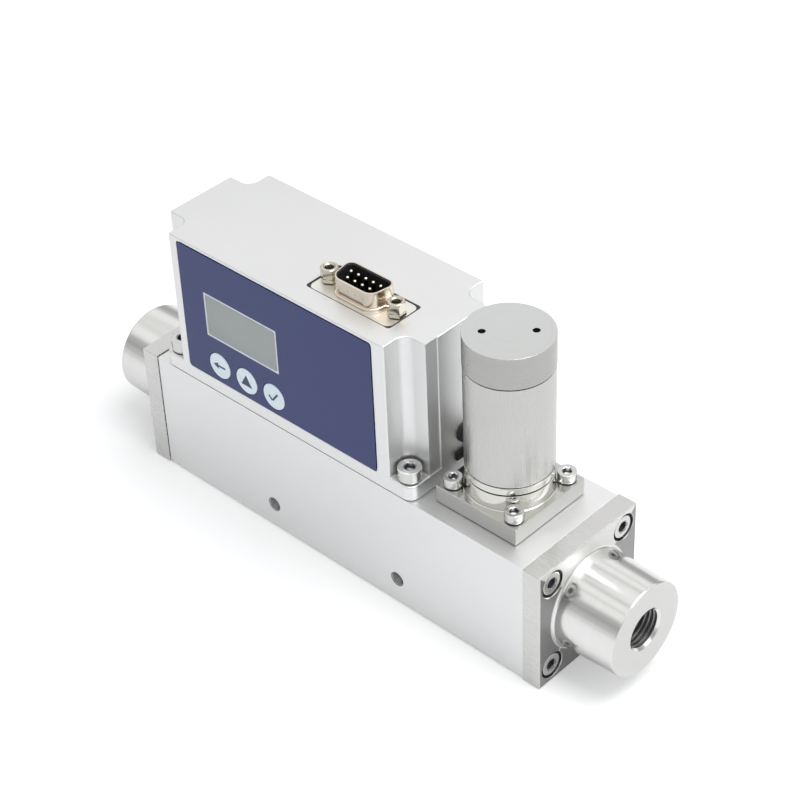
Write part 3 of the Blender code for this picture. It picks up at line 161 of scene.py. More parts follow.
# Flow block: a length of square aluminium bar, squared up, bored from both ends, tapped,
# then bead blasted, so that its faces are pale and even and its edges just broken.
def leave_alone():
    """Out of edit mode with nothing selected."""
    if bpy.context.object and bpy.context.object.mode != "OBJECT":
        bpy.ops.object.mode_set(mode="OBJECT")
    bpy.ops.object.select_all(action="DESELECT")


def pick(piece):
    """Only this piece selected, and active."""
    leave_alone()
    piece.select_set(True)
    bpy.context.view_layer.objects.active = piece
    return piece


def settled(name):
    """The piece just added, named, its place put into its mesh."""
    piece = bpy.context.object
    piece.name = name
    piece.data.name = name
    pick(piece)
    bpy.ops.object.transform_apply(location=True, rotation=True, scale=True)
    return piece


def slab(name, low, high):
    """A block between two corners."""
    leave_alone()
    low = Vector(low)
    high = Vector(high)
    bpy.ops.mesh.primitive_cube_add(size=1.0, location=(low + high) / 2, scale=high - low)
    return settled(name)


def turned(name, profile, origin, axis, sides=64, ring=False):
    """A lathe piece: a circle drawn out along (radius, distance along the axis) points."""
    leave_alone()
    axis = Vector(axis)
    origin = Vector(origin)
    radius, reach = profile[0]
    bpy.ops.mesh.primitive_circle_add(
        vertices=sides, radius=radius, fill_type="NOTHING" if ring else "NGON",
        location=origin + axis * reach,
        rotation=Vector((0.0, 0.0, 1.0)).rotation_difference(axis).to_euler(),
    )
    bpy.ops.object.mode_set(mode="EDIT")
    bpy.ops.mesh.select_all(action="SELECT")
    for to_radius, to_reach in [*profile[1:], *(profile[:1] if ring else [])]:
        step = {"value": axis * (to_reach - reach)}
        bpy.ops.mesh.extrude_region_move(TRANSFORM_OT_translate=step)
        scale = to_radius / radius
        middle = origin + axis * to_reach
        bpy.ops.transform.resize(value=(scale, scale, scale), center_override=middle)
        radius, reach = to_radius, to_reach
    bpy.ops.mesh.select_all(action="SELECT")
    bpy.ops.mesh.remove_doubles(threshold=0.000001)
    bpy.ops.mesh.normals_make_consistent(inside=False)
    bpy.ops.object.mode_set(mode="OBJECT")
    return settled(name)


def carved(piece, tool, how="DIFFERENCE"):
    """Cut a tool out of a piece, or join it to it, and take the tool away."""
    pick(piece)
    cut = piece.modifiers.new("Cut", "BOOLEAN")
    cut.operation = how
    cut.solver = "EXACT"
    cut.object = tool
    bpy.ops.object.modifier_apply(modifier=cut.name)
    bpy.data.objects.remove(tool, do_unlink=True)
    return piece


def bored(piece, name, profile, place, axis, sides=64, ring=False):
    """Cut a lathe shape out of a piece."""
    return carved(piece, turned(name, profile, place, axis, sides, ring))


def drilled(piece, name, radius, start, depth, place, axis, sides):
    """Cut a straight round hole."""
    return bored(piece, name, [(radius, start), (radius, depth)], place, axis, sides)


def softened(piece, width, segments=3, angle=40.0):
    """Round every edge that turns by more than the angle."""
    pick(piece)
    edges = piece.modifiers.new("Edges", "BEVEL")
    edges.width = width
    edges.segments = segments
    edges.limit_method = "ANGLE"
    edges.angle_limit = math.radians(angle)
    edges.use_clamp_overlap = True
    bpy.ops.object.modifier_apply(modifier=edges.name)
    return piece


def dressed(piece, finish, slot, *replaced, body="body"):
    """Smooth shading with flat faces kept flat, a material, and the piece's place in the frame."""
    piece.data.materials.clear()
    piece.data.materials.append(finish)
    pick(piece)
    bpy.ops.object.shade_smooth_by_angle(angle=math.radians(38.0))
    evened = piece.modifiers.new("Normals", "WEIGHTED_NORMAL")
    evened.keep_sharp = True
    bpy.ops.object.modifier_apply(modifier=evened.name)
    if replaced:
        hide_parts(*replaced)
    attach(piece, body)
    return piece


def also(piece, finish, wanted):
    """A second material on the faces that the test picks by their middle and normal."""
    piece.data.materials.append(finish)
    index = len(piece.data.materials) - 1
    for face in piece.data.polygons:
        if wanted(face.center, face.normal):
            face.material_index = index
    return piece


def spread(tree, source, low, high):
    """A value from 0 to 1 spread between two levels, which may be sockets."""
    inputs = {"Value": source, "To Min": low, "To Max": high}
    return added(tree, "ShaderNodeMapRange", inputs).outputs["Result"]


def product(tree, first, *others):
    """Values multiplied together."""
    for other in others:
        first = reckon(tree, "MULTIPLY", first, other)
    return first


def noise(tree, scale, detail=2.0, roughness=0.5, vector=None):
    """Noise on a vector, which is Object coordinates unless another is given."""
    inputs = {"Scale": scale, "Detail": detail, "Roughness": roughness}
    inputs["Vector"] = where(tree) if vector is None else vector
    return added(tree, "ShaderNodeTexNoise", inputs).outputs["Fac"]


def shaded(tree, colour, level):
    """A colour multiplied by a level."""
    return added(tree, "ShaderNodeVectorMath", {0: colour, "Scale": level}, "SCALE").outputs[0]


def bumped(tree, height, distance):
    """A normal from a height in metres."""
    inputs = {"Height": height, "Distance": distance, "Strength": 1.0}
    return added(tree, "ShaderNodeBump", inputs).outputs["Normal"]


def toned(tree, mask, amount, top=1.0):
    """A level that a mask takes down from its top by no more than an amount below 1."""
    return spread(tree, mask, reckon(tree, "SUBTRACT", 1.0, amount), top)


FLOAT, COLOUR, VECTOR = "NodeSocketFloat", "NodeSocketColor", "NodeSocketVector"


def effect_group(name, *values):
    """The node group of a surface effect, and what it is given: colour, roughness, values."""
    tree = bpy.data.node_groups.new(name, "ShaderNodeTree")
    for socket, kind, value in (("Colour", COLOUR, WHITE), ("Roughness", FLOAT, 0.4), *values):
        made = tree.interface.new_socket(name=socket, in_out="INPUT", socket_type=kind)
        made.default_value = value
    for socket, kind in (("Colour", COLOUR), ("Roughness", FLOAT), ("Normal", VECTOR)):
        tree.interface.new_socket(name=socket, in_out="OUTPUT", socket_type=kind)
    return tree, added(tree, "NodeGroupInput").outputs


def effect_out(tree, given, tone, mask, by, height, depth):
    """Put out a surface effect: colour times tone, roughness that a mask moves, and normal."""
    low = reckon(tree, "SUBTRACT", given["Roughness"], by)
    high = reckon(tree, "ADD", given["Roughness"], by)
    added(tree, "NodeGroupOutput", {
        "Colour": shaded(tree, given["Colour"], tone),
        "Roughness": spread(tree, mask, low, high),
        "Normal": bumped(tree, height, depth),
    })


blasted, given = effect_group(
    "blasted_surface",
    ("Pit size", FLOAT, 3200.0), ("Pit depth", FLOAT, 0.000012), ("Clouding", FLOAT, 0.04),
)
pits = noise(blasted, given["Pit size"], 2.0, 0.6)
clouds = noise(blasted, 38.0, 3.0)
clouded = toned(blasted, clouds, given["Clouding"])
tone = product(blasted, clouded, spread(blasted, pits, 0.97, 1.02))
effect_out(blasted, given, tone, clouds, 0.05, pits, given["Pit depth"])


def surfaced(made, inputs):
    """Set or link the inputs of a material's Principled shader."""
    fed(made.node_tree, made.node_tree.nodes["Principled BSDF"], inputs)
    return made


def plain(name, colour, roughness, metallic=0.0):
    """A material with its Principled shader, for its section to add to."""
    made = bpy.data.materials.new(name)
    made.use_nodes = True
    made.diffuse_color = (*colour, 1.0)
    inputs = {"Base Color": (*colour, 1.0), "Roughness": roughness, "Metallic": metallic}
    return surfaced(made, inputs)


def metal(name, colour, roughness, effect, **values):
    """A metal with a surface effect in front of its shader, and the effect's own values."""
    made = plain(name, colour, roughness, 1.0)
    tree = made.node_tree
    node = tree.nodes.new("ShaderNodeGroup")
    node.node_tree = effect
    fed(tree, node, {"Colour": (*colour, 1.0), "Roughness": roughness})
    fed(tree, node, {socket.replace("_", " "): value for socket, value in values.items()})
    colour, roughness, normal = node.outputs
    return surfaced(made, {"Base Color": colour, "Roughness": roughness, "Normal": normal})


def vees(radius, root, start, stop, pitch):
    """Points down a thread: a groove to its root at every pitch, until it is past the stop."""
    points = []
    while start > stop:
        points += [(root, start - pitch / 2), (radius, start - pitch)]
        start -= pitch
    return points


def tapped_tool(name, origin, axis):
    """Cutter for an M4 tapped hole: countersunk mouth, thread grooves, drill point."""
    radius, mouth, depth, pitch = 0.0019, 0.0024, 0.009, 0.0007
    lead_in = mouth - radius
    profile = [
        (mouth + OVERCUT, OVERCUT), (mouth, 0.0), (radius, -lead_in),
        *vees(radius, radius + 0.00022, -lead_in, -depth + 2 * pitch, pitch),
        (radius * 0.98, -depth), (TIP, -depth - radius / 2),
    ]
    return turned(name, profile, origin, axis, 40)


RIGHT, LEFT = (1.0, 0.0, 0.0), (-1.0, 0.0, 0.0)
UP, DOWN = (0.0, 0.0, 1.0), (0.0, 0.0, -1.0)
FRONT, BACK = (0.0, -1.0, 0.0), (0.0, 1.0, 0.0)
AXIS_Z = 0.0204
BLOCK_END = 0.072
BLOCK_HALF = 0.020
BLOCK_BASE = 0.0004
BLOCK_TOP = 0.0404
OVERCUT = 0.0003
TIP = 0.0001
FACE_TAPPING_X = 0.025
FACE_TAPPING_Z = 0.0085
VALVE_X = 0.0504
FLANGE_SCREWS = (-0.015, 0.015)
HOUSING_SCREWS = ((-0.064, -0.016), (-0.064, 0.016), (0.028, -0.016), (0.028, 0.016))
VALVE_SCREWS_X = (0.0394, 0.0614)
VALVE_SCREWS_Y = (-0.011, 0.011)
VALVE_SCREWS = [(x, y) for x in VALVE_SCREWS_X for y in VALVE_SCREWS_Y]
SENSOR_PORTS = ((-0.038, 0.001), (-0.002, 0.001))

block = slab(
    "flow_block", (-BLOCK_END, -BLOCK_HALF, BLOCK_BASE), (BLOCK_END, BLOCK_HALF, BLOCK_TOP),
)
softened(block, 0.00022, 2)
for x in (-FACE_TAPPING_X, FACE_TAPPING_X):
    carved(block, tapped_tool("face_tapping", (x, -BLOCK_HALF, FACE_TAPPING_Z), FRONT))
for x in (-0.050, 0.050):
    carved(block, tapped_tool("base_tapping", (x, 0.0, BLOCK_BASE), DOWN))
bypass = [(0.008, -OVERCUT), (0.008, 0.1007), (TIP, 0.1030)]
bored(block, "bypass_bore", bypass, (-BLOCK_END, 0.0, AXIS_Z), RIGHT)
outlet = [(0.005, -OVERCUT), (0.005, 0.0267), (TIP, 0.0281)]
bored(block, "outlet_bore", outlet, (BLOCK_END, 0.0, AXIS_Z), LEFT, 48)
drilled(block, "valve_pocket", 0.0065, -OVERCUT, 0.0094, (VALVE_X, 0.0, BLOCK_TOP), DOWN, 48)
drilled(block, "outlet_drop", 0.0016, -OVERCUT, 0.0130, (VALVE_X, 0.0, 0.0313), DOWN, 24)
riser_low = Vector((0.0247, 0.0, AXIS_Z))
riser = Vector((0.0448, 0.0, 0.0359)) - riser_low
drilled(block, "inlet_riser", 0.0016, 0.0, riser.length, riser_low, riser.normalized(), 24)
seal_groove = [(0.00965, -OVERCUT), (0.01195, -OVERCUT), (0.01195, 0.0020), (0.00965, 0.0020)]
for end_x, axis in ((-BLOCK_END, RIGHT), (BLOCK_END, LEFT)):
    bored(block, "seal_groove", seal_groove, (end_x, 0.0, AXIS_Z), axis, 64, True)
    for y in FLANGE_SCREWS:
        for rise in FLANGE_SCREWS:
            place = (end_x, y, AXIS_Z + rise)
            drilled(block, "flange_tapping", 0.0023, -OVERCUT, 0.0056, place, axis, 24)
for name, places, radius, depth, sides in (
    ("housing_tapping", HOUSING_SCREWS, 0.0023, 0.0063, 24),
    ("valve_tapping", VALVE_SCREWS, 0.0018, 0.0083, 24),
    ("sensor_port", SENSOR_PORTS, 0.0010, 0.0160, 16),
):
    for x, y in places:
        drilled(block, name, radius, -OVERCUT, depth, (x, y, BLOCK_TOP), DOWN, sides)
blasted_aluminium = metal("blasted_aluminium", (0.84, 0.845, 0.845), 0.42, blasted)
# A dark copy of the blasted aluminium for inside the tapped holes and the port threads: painted
# shade down the bores.
bore_shade_aluminium = metal("bore_shade_aluminium", (0.34, 0.34, 0.34), 0.34, blasted)
dressed(block, blasted_aluminium, "bead_blasted_aluminium", "flow_block")
# The front tapped holes take the dark copy: painted shade inside them.
also(block, bore_shade_aluminium,
     lambda c, n: c.y > 0.00005 - BLOCK_HALF
     and math.hypot(abs(c.x) - FACE_TAPPING_X, c.z - FACE_TAPPING_Z) < 0.0023)


# End flanges: a square plate and a tapered port boss, turned and milled from one billet of
# aluminium. Four counterbored holes take the screws, and the port is tapped for a fitting.
def grooved(tree, place, coarse_scale, coarse_share):
    """Fine scratches with a share of coarser ones, as a height from 0 to 1."""
    fine = product(tree, noise(tree, 1.0, 2.0, 0.6, place), 1.0 - coarse_share)
    coarse = product(tree, noise(tree, coarse_scale, 1.0, 0.5, place), coarse_share)
    return reckon(tree, "ADD", fine, coarse)


def milled_grooves(tree, place):
    """Fine parallel scratches, with a coarser set that wanders across them."""
    return grooved(tree, place, 0.23, 0.35)


def turned_grooves(tree, place):
    """Rings round the local Z axis, on end faces as well as on round sides."""
    x, y, z = added(tree, "ShaderNodeSeparateXYZ", {0: place}).outputs
    radius = reckon(tree, "SQRT", reckon(tree, "ADD", product(tree, x, x), product(tree, y, y)))
    joined = added(tree, "ShaderNodeCombineXYZ", {0: radius, 1: z}).outputs[0]
    return grooved(tree, joined, 0.18, 0.4)


def tooled(name, grooves):
    """A surface effect made by a cutting tool: fine marks on the coordinates it is given."""
    tree, given = effect_group(
        name, ("Place", VECTOR, (0.0, 0.0, 0.0)), ("Mark depth", FLOAT, 0.0000015),
        ("Streaks", FLOAT, 0.08), ("Clouding", FLOAT, 0.05),
    )
    marks = grooves(tree, given["Place"])
    clouds = noise(tree, 55.0, 3.0)
    streaked = toned(tree, marks, given["Streaks"], 1.03)
    tone = product(tree, streaked, toned(tree, clouds, given["Clouding"]))
    effect_out(tree, given, tone, marks, -0.06, marks, given["Mark depth"])
    return tree


def laid(made, stretch, centre=(0.0, 0.0, 0.0), turn=(0.0, 0.0, 0.0)):
    """Centre, turn and stretch a material's marks on its piece."""
    tree = made.node_tree
    centred = tree.nodes.new("ShaderNodeMapping")
    centred.vector_type = "TEXTURE"
    fed(tree, centred, {"Vector": where(tree), "Location": centre, "Rotation": turn})
    stretched = {"Vector": centred.outputs["Vector"], "Scale": stretch}
    place = added(tree, "ShaderNodeMapping", stretched).outputs["Vector"]
    effect = [n for n in tree.nodes if n.bl_idname == "ShaderNodeGroup"][0]
    fed(tree, effect, {"Place": place})
    return made


def turned_metal(name, colour, roughness, pitch, centre, turn=(0.0, 0.0, 0.0), **values):
    """A metal with lathe marks round an axis."""
    made = metal(name, colour, roughness, lathe_marks, **values)
    return laid(made, (pitch, pitch, pitch), centre, turn)


def fillet(radius, start, size, steps):
    """Points round the root of a boss, from its start along the axis in to its radius."""
    bends = [math.pi / 2 * step / steps for step in range(1, steps + 1)]
    return [
        (radius + size * (1 - math.sin(bend)), start + size * (1 - math.cos(bend)))
        for bend in bends
    ]


ENDS = (("inlet", -1, LEFT), ("outlet", 1, RIGHT))
BORE_LINE = (0.0, 0.0, AXIS_Z)
ABOUT_X = (0.0, math.pi / 2, 0.0)
SEAM = 0.00015
FLANGE_FACE = 0.0783
FLANGE_HALF = 0.0204
THREAD_CREST = 0.0059
THREAD_ROOT = 0.0065
THREAD_PITCH = 0.001337
tool_marks = tooled("tool_marks", milled_grooves)
lathe_marks = tooled("lathe_marks", turned_grooves)
milled_aluminium = laid(
    metal("milled_aluminium", (0.72, 0.715, 0.705), 0.28, tool_marks, Streaks=0.13),
    (130.0, 6000.0, 6000.0),
)
turned_aluminium = turned_metal(
    "turned_aluminium", (0.80, 0.80, 0.785), 0.17, 5200.0, BORE_LINE, ABOUT_X, Streaks=0.06,
)
# Faced and swept aluminium are copies of the turned finish whose colours are partly painted light:
# the boss end is painted darker against the light it catches, and the flange face painted paler
# against the shade under the boss. Their roughness and marks differ as real faced and swept cuts
# do.
faced_darkened_aluminium = turned_metal(
    "faced_darkened_aluminium", (0.69, 0.69, 0.675), 0.25, 4200.0, BORE_LINE, ABOUT_X,
    Streaks=0.07, Clouding=0.06,
)
swept_lightened_aluminium = turned_metal(
    "swept_lightened_aluminium", (0.88, 0.88, 0.865), 0.58, 3000.0, BORE_LINE, ABOUT_X,
    Streaks=0.10, Clouding=0.16,
)
boss = [(0.0159, -0.003), (0.0159, 0.0), *fillet(0.0150, 0.0, 0.0009, 6), (0.01441, 0.0194),
        (0.01438, 0.0197), (0.01422, 0.01992), (0.0139, 0.0200)]
port = [(0.0071, 0.0203), (0.0066, 0.0199), (THREAD_CREST, 0.0192)]
reach = 0.0190
while reach > 0.0062:
    port += [(THREAD_CREST, reach), (THREAD_ROOT, reach - 0.00045),
             (THREAD_ROOT, reach - 0.0006), (THREAD_CREST, reach - 0.00105)]
    reach -= THREAD_PITCH
port += [(0.0062, 0.0056), (0.0062, 0.0050), (0.0045, 0.0040), (0.0045, -0.0063)]
counterbore = [(0.0045, OVERCUT), (0.00435, 0.0), (0.0042, -0.00015), (0.0042, -0.0044),
               (0.0023, -0.0044), (0.0023, -0.0063)]

for end, side, axis in ENDS:
    outer = side * FLANGE_FACE
    near, far = sorted((side * (BLOCK_END + SEAM), outer))
    flange = slab(f"{end}_flange", (near, -FLANGE_HALF, 0.0), (far, FLANGE_HALF, 2 * AXIS_Z))
    softened(flange, 0.0003)
    carved(flange, turned("boss", boss, (outer, 0.0, AXIS_Z), axis, 112), how="UNION")
    bored(flange, "port", port, (outer, 0.0, AXIS_Z), axis, 72)
    for y in FLANGE_SCREWS:
        for rise in FLANGE_SCREWS:
            bored(flange, "hole", counterbore, (outer, y, AXIS_Z + rise), axis, 48)
    dressed(flange, milled_aluminium, "milled_aluminium", f"{end}_flange")
    # The flange face takes the paler copy and the boss end the darker one: partly painted light
    # and shade.
    also(flange, swept_lightened_aluminium,
         lambda c, n: side * n.x > 0.9 and abs(c.x - outer) < 0.00002)
    also(flange, faced_darkened_aluminium,
         lambda c, n: side * n.x > 0.9 and side * (c.x - outer) > 0.0199)
    also(flange, turned_aluminium,
         lambda c, n: 0.00002 < side * (c.x - outer) < 0.01995
         or math.hypot(c.y, c.z - AXIS_Z) < 0.0066 and side * (c.x - outer) < 0.0199)
    # The port threads take the dark copy: painted shade down the bore.
    also(flange, bore_shade_aluminium,
         lambda c, n: math.hypot(c.y, c.z - AXIS_Z) < 0.0066 and side * (c.x - outer) < 0.0193)


# Flange screws: M4 socket heads of stainless steel with a knurled side, sunk in the
# counterbores so that their tops stand flush, with a thin dark ring of gap round each.
def chosen(piece, kind, wanted):
    """Edit mode, with the vertices, edges or polygons of a piece that the test picks."""
    pick(piece)
    mesh = piece.data
    kinds = {"vertices": mesh.vertices, "edges": mesh.edges, "polygons": mesh.polygons}
    bpy.context.tool_settings.mesh_select_mode = [name == kind for name in kinds]
    for name, items in kinds.items():
        for item in items:
            item.select = name == kind and wanted(item)
    bpy.ops.object.mode_set(mode="EDIT")


def socket_screw(size, shank):
    """A socket head screw, head up, the underside of its head at the origin."""
    radius, head_radius, head_height, socket, pitch = size
    ribs = 72
    edge = head_height * 0.09
    profile = [
        (head_radius - edge * 1.2, head_height),
        (head_radius - edge * 0.3, head_height - edge * 0.4),
        (head_radius, head_height - edge * 1.3), (head_radius, head_height - edge * 2.0),
        (head_radius, edge * 1.5), (head_radius - edge * 0.5, 0.0), (radius, 0.0),
        (radius, -0.0008), *vees(radius, radius - 0.55 * pitch, -0.0008, pitch - shank, pitch),
        (radius * 0.8, -shank),
    ]
    screw = turned("screw", profile, (0.0, 0.0, 0.0), UP, ribs)

    def groove(corner):
        """Every second line of corners round the side of the head."""
        x, y, z = corner.co
        side = math.hypot(x, y) > head_radius * 0.999
        every_second = round(math.atan2(y, x) / math.tau * ribs) % 2 == 0
        return side and every_second and edge * 1.4 <= z <= head_height - edge * 1.9

    chosen(screw, "vertices", groove)
    bpy.ops.transform.resize(value=(0.975, 0.975, 1.0), center_override=(0.0, 0.0, 0.0))
    bpy.ops.object.mode_set(mode="OBJECT")
    corner_radius = socket / 2 / math.cos(math.pi / 6)
    mouth = [(corner_radius * 1.20, head_height + 0.0002), (corner_radius * 1.15, head_height),
             (corner_radius * 0.86, head_height - 0.0003)]
    bored(screw, "socket_mouth", mouth, (0.0, 0.0, 0.0), UP, 48)
    depth = head_height - 0.0019
    hexagon = [(corner_radius, head_height + 0.0002), (corner_radius, depth),
               (TIP, depth - corner_radius * 0.35)]
    return bored(screw, "socket", hexagon, (0.0, 0.0, 0.0), UP, 6)


def copied(piece, name, matrix):
    """A copy of a finished piece with its own mesh, put where the matrix says."""
    leave_alone()
    twin = piece.copy()
    twin.data = piece.data.copy()
    twin.name = name
    twin.data.name = name
    scene.collection.objects.link(twin)
    twin.matrix_world = matrix
    pick(twin)
    bpy.ops.object.transform_apply(location=True, rotation=True, scale=True)
    return twin


def pointed(axis, place, turn):
    """A matrix that points a piece's +Z along an axis at a place, after a turn about itself."""
    swing = Vector(UP).rotation_difference(Vector(axis)).to_matrix().to_4x4()
    return Matrix.Translation(Vector(place)) @ swing @ Matrix.Rotation(turn, 4, "Z")


def screwed_in(size, shank, heads):
    """Screws with a name, axis, place and turn each; down the socket the steel is duller and
    painted darker, as shade.
    """
    model = socket_screw(size, shank)
    head_height = size[2]
    for name, axis, place, turn in heads:
        matrix = pointed(axis, place, turn)
        local = matrix.inverted()
        screw = copied(model, name, matrix)
        dressed(screw, screw_steel, "screw_steel", name)
        # Painted shade down the socket: the dark steel inside it.
        also(screw, socket_shade_steel,
             lambda c, n: 0.0010 < (local @ c).z < head_height - 0.00012
             and math.hypot(*(local @ c).xy) < head_height / 2)
    bpy.data.objects.remove(model, do_unlink=True)


# Radius, radius and height of the head, width of the socket, and pitch of the thread.
M4 = (0.0020, 0.0035, 0.0038, 0.0030, 0.0007)
ROUND = ((0, 0), (1, 0), (1, 1), (0, 1))
# A dark steel for inside screw sockets and spanner holes: painted shade in the recesses.
socket_shade_steel = metal("socket_shade_steel", (0.30, 0.31, 0.33), 0.30, blasted)
screw_steel = turned_metal(
    "screw_steel", (0.72, 0.72, 0.70), 0.24, 9000.0, (0.0, 0.0, 0.0), Streaks=0.12,
)
screwed_in(M4, 0.0072, [
    (f"{end}_flange_screw_{i + 1}", axis,
     (side * 0.0742, FLANGE_SCREWS[a], AXIS_Z + FLANGE_SCREWS[b]), 0.4 + 1.1 * i + side)
    for end, side, axis in ENDS for i, (a, b) in enumerate(ROUND)
])


# Housing cover: milled from solid aluminium and bead blasted. Its corners are notched down to
# four feet, its front is pocketed for the overlay, and its end wall is cut a little deeper on
# both sides of the lead's grommet.
def cornered(piece, axis, radius, segments=8):
    """Round the edges that run along one axis."""
    axis = Vector(axis)
    points = [corner.co.copy() for corner in piece.data.vertices]

    def along(line):
        """Whether an edge runs along the axis."""
        start, stop = (points[i] for i in line.vertices)
        return abs((stop - start).normalized().dot(axis)) > 0.95

    chosen(piece, "edges", along)
    bpy.ops.mesh.bevel(offset=radius, segments=segments, profile=0.5)
    bpy.ops.object.mode_set(mode="OBJECT")
    return piece


def plate(name, centre, size, axis, radius, segments=6):
    """A plate by its middle and size, with the corners along one axis rounded."""
    centre = Vector(centre)
    half = Vector(size) / 2
    return cornered(slab(name, centre - half, centre + half), axis, radius, segments)


def front_plate(name, middle, y, size, radius, segments=6):
    """An upright plate round a middle in the front of the housing."""
    return plate(name, (middle[0], y, middle[1]), size, BACK, radius, segments)


def plug_plate(name, z, size, radius, segments=6):
    """A flat plate round the connector's middle."""
    return plate(name, (PLUG_X, PLUG_Y, z), size, UP, radius, segments)


COVER_ENDS = (-0.068, 0.032)
COVER_BASE = BLOCK_TOP + SEAM
COVER_TOP = 0.0903
FOOT_TOP = 0.0454
NOTCH = 0.008
WALL = 0.0025
SIDE_WALL = 0.0022
CORNER = 0.010
HOLLOW_BASE = 0.0400
FILM = (-0.0187, 0.06715)
WINDOW = (-0.0324, 0.06825)
KEYS = (("key_back", -0.04307), ("key_up", -0.0319), ("key_accept", -0.02073))
KEYS_Z = 0.05125
PLUG_X, PLUG_Y = 0.0039, -0.0066
POSTS_X = (-0.008595, 0.016395)
GROMMET_Y, GROMMET_Z = 0.0023, 0.0528

low_x, high_x = COVER_ENDS
inside_y = BLOCK_HALF - SIDE_WALL
inside_top = COVER_TOP - WALL
cover = slab(
    "housing_cover", (low_x, -BLOCK_HALF, COVER_BASE), (high_x, BLOCK_HALF, COVER_TOP),
)
cornered(cover, UP, 0.003)
for x in COVER_ENDS:
    for y in (-BLOCK_HALF, BLOCK_HALF):
        notch = slab("notch", (x - NOTCH, y - NOTCH, FOOT_TOP), (x + NOTCH, y + NOTCH, 0.1000))
        carved(cover, cornered(notch, UP, 0.0034))
softened(cover, 0.0004)
for name, corner, half in (("hollow_long", WALL, CORNER), ("hollow_wide", CORNER, inside_y)):
    hollow_low = (low_x + corner, -half, HOLLOW_BASE)
    carved(cover, slab(name, hollow_low, (high_x - corner, half, inside_top)))
for x in (-0.0525, -0.0123):
    for z in (0.04865, 0.08035):
        pillar = turned("pillar", [(0.002, 0.0), (0.002, 0.0065)], (x, -inside_y, z), BACK, 24)
        carved(cover, pillar, how="UNION")
for x, y in HOUSING_SCREWS:
    foot_hole = [(0.0026, OVERCUT), (0.0023, 0.0), (0.0023, -0.0060)]
    bored(cover, "foot_hole", foot_hole, (x, y, FOOT_TOP), UP, 32)
carved(cover, front_plate("overlay_pocket", FILM, -0.0200, (0.0764, 0.001, 0.0443), 0.0012))
carved(cover, front_plate("window_opening", WINDOW, -0.0188, (0.0286, 0.003, 0.0142), 0.0006))
for _, x in KEYS:
    drilled(cover, "key_hole", 0.00455, 0.0, 0.003, (x, -0.0203, KEYS_Z), BACK, 56)
carved(cover, plug_plate("connector_pocket", 0.0900, (0.0314, 0.0131, 0.002), 0.0010))
carved(cover, plug_plate("connector_opening", 0.0885, (0.0196, 0.0106, 0.004), 0.0010))
for x in POSTS_X:
    drilled(cover, "post_hole", 0.0015, 0.0, 0.004, (x, PLUG_Y, 0.0860), UP, 24)
for low_y, high_y in ((-0.0130, -0.00745), (0.00745, 0.0130)):
    carved(cover, slab("end_step", (0.03168, low_y, FOOT_TOP), (0.0330, high_y, 0.0950)))
drilled(cover, "grommet_hole", 0.0025, 0.0, 0.005, (0.0280, GROMMET_Y, GROMMET_Z), RIGHT, 40)
carved(cover, slab("plug_opening", (0.0280, -0.0012, 0.0449), (0.0330, 0.0058, 0.0475)))
softened(cover, 0.0001, 2, 70.0)
dressed(cover, blasted_aluminium, "bead_blasted_aluminium", "housing_cover")


# Housing screws: the same M4 socket heads, standing on the feet in the notches.
HEAD_GAP = 0.0003
screwed_in(M4, 0.0113, [
    (f"housing_screw_{i + 1}", UP, (x, y, FOOT_TOP + HEAD_GAP), 0.3 + 0.9 * i)
    for i, (x, y) in enumerate(HOUSING_SCREWS)
])


# Front overlay: a printed polyester film bonded in its pocket, slate blue with a fine pale
# line round the display, open for the display window and the three keys.
def mixed(tree, factor, first, second):
    """One of two colours, or something between, by a factor. Either may be a socket."""
    node = tree.nodes.new("ShaderNodeMix")
    node.data_type = "RGBA"
    first, second = ((*c, 1.0) if isinstance(c, tuple) else c for c in (first, second))
    return fed(tree, node, {0: factor, 6: first, 7: second}).outputs[2]


def coordinates(made):
    """A material's tree, and its Object coordinates in parts."""
    tree = made.node_tree
    return tree, added(tree, "ShaderNodeSeparateXYZ", {0: where(tree)}).outputs


def mottled(made, scale, detail=2.0, fineness=0.5, tones=None, gloss=None, depth=None):
    """Noise that moves a material's colour, roughness or height, whichever it is given."""
    tree = made.node_tree
    mottle = noise(tree, scale, detail, fineness)
    if tones:
        surfaced(made, {"Base Color": mixed(tree, mottle, *tones)})
    if gloss:
        surfaced(made, {"Roughness": spread(tree, mottle, *gloss)})
    if depth:
        surfaced(made, {"Normal": bumped(tree, mottle, depth)})
    return made


def off_centre(tree, value, middle):
    """How far a value is from its middle."""
    return reckon(tree, "ABSOLUTE", reckon(tree, "SUBTRACT", value, middle))


overlay = front_plate("front_overlay", FILM, -0.0200, (0.0758, 0.0004, 0.0437), 0.0012, 8)
carved(overlay, front_plate("window", WINDOW, -0.0200, (0.0282, 0.002, 0.0138), 0.0006))
for _, x in KEYS:
    drilled(overlay, "key", 0.00445, 0.0, 0.002, (x, -0.0210, KEYS_Z), BACK, 72)
softened(overlay, 0.00006, 2, 60.0)
overlay_film = plain("overlay_film", (0.020, 0.032, 0.130), 0.34)
mottled(overlay_film, 5200.0, gloss=(0.29, 0.39), depth=0.000002)
tree, split = coordinates(overlay_film)
in_line = product(
    tree, reckon(tree, "LESS_THAN", off_centre(tree, split["X"], WINDOW[0]), 0.01468),
    reckon(tree, "LESS_THAN", off_centre(tree, split["Z"], WINDOW[1]), 0.00748),
)
ink = mixed(tree, noise(tree, 24.0), (0.021, 0.027, 0.166), (0.010, 0.034, 0.138))
surfaced(overlay_film, {"Base Color": mixed(tree, in_line, ink, (0.72, 0.73, 0.84))})
dressed(overlay, overlay_film, "overlay_film", "front_overlay")


# Display: a clear acrylic window flush with the overlay, and behind it a liquid crystal
# module in its black frame. The glass is grey green and blank, as it is with the power off.
def rising(tree, value, slope):
    """A value times a slope, held at 1."""
    return reckon(tree, "MINIMUM", product(tree, value, slope), 1.0)


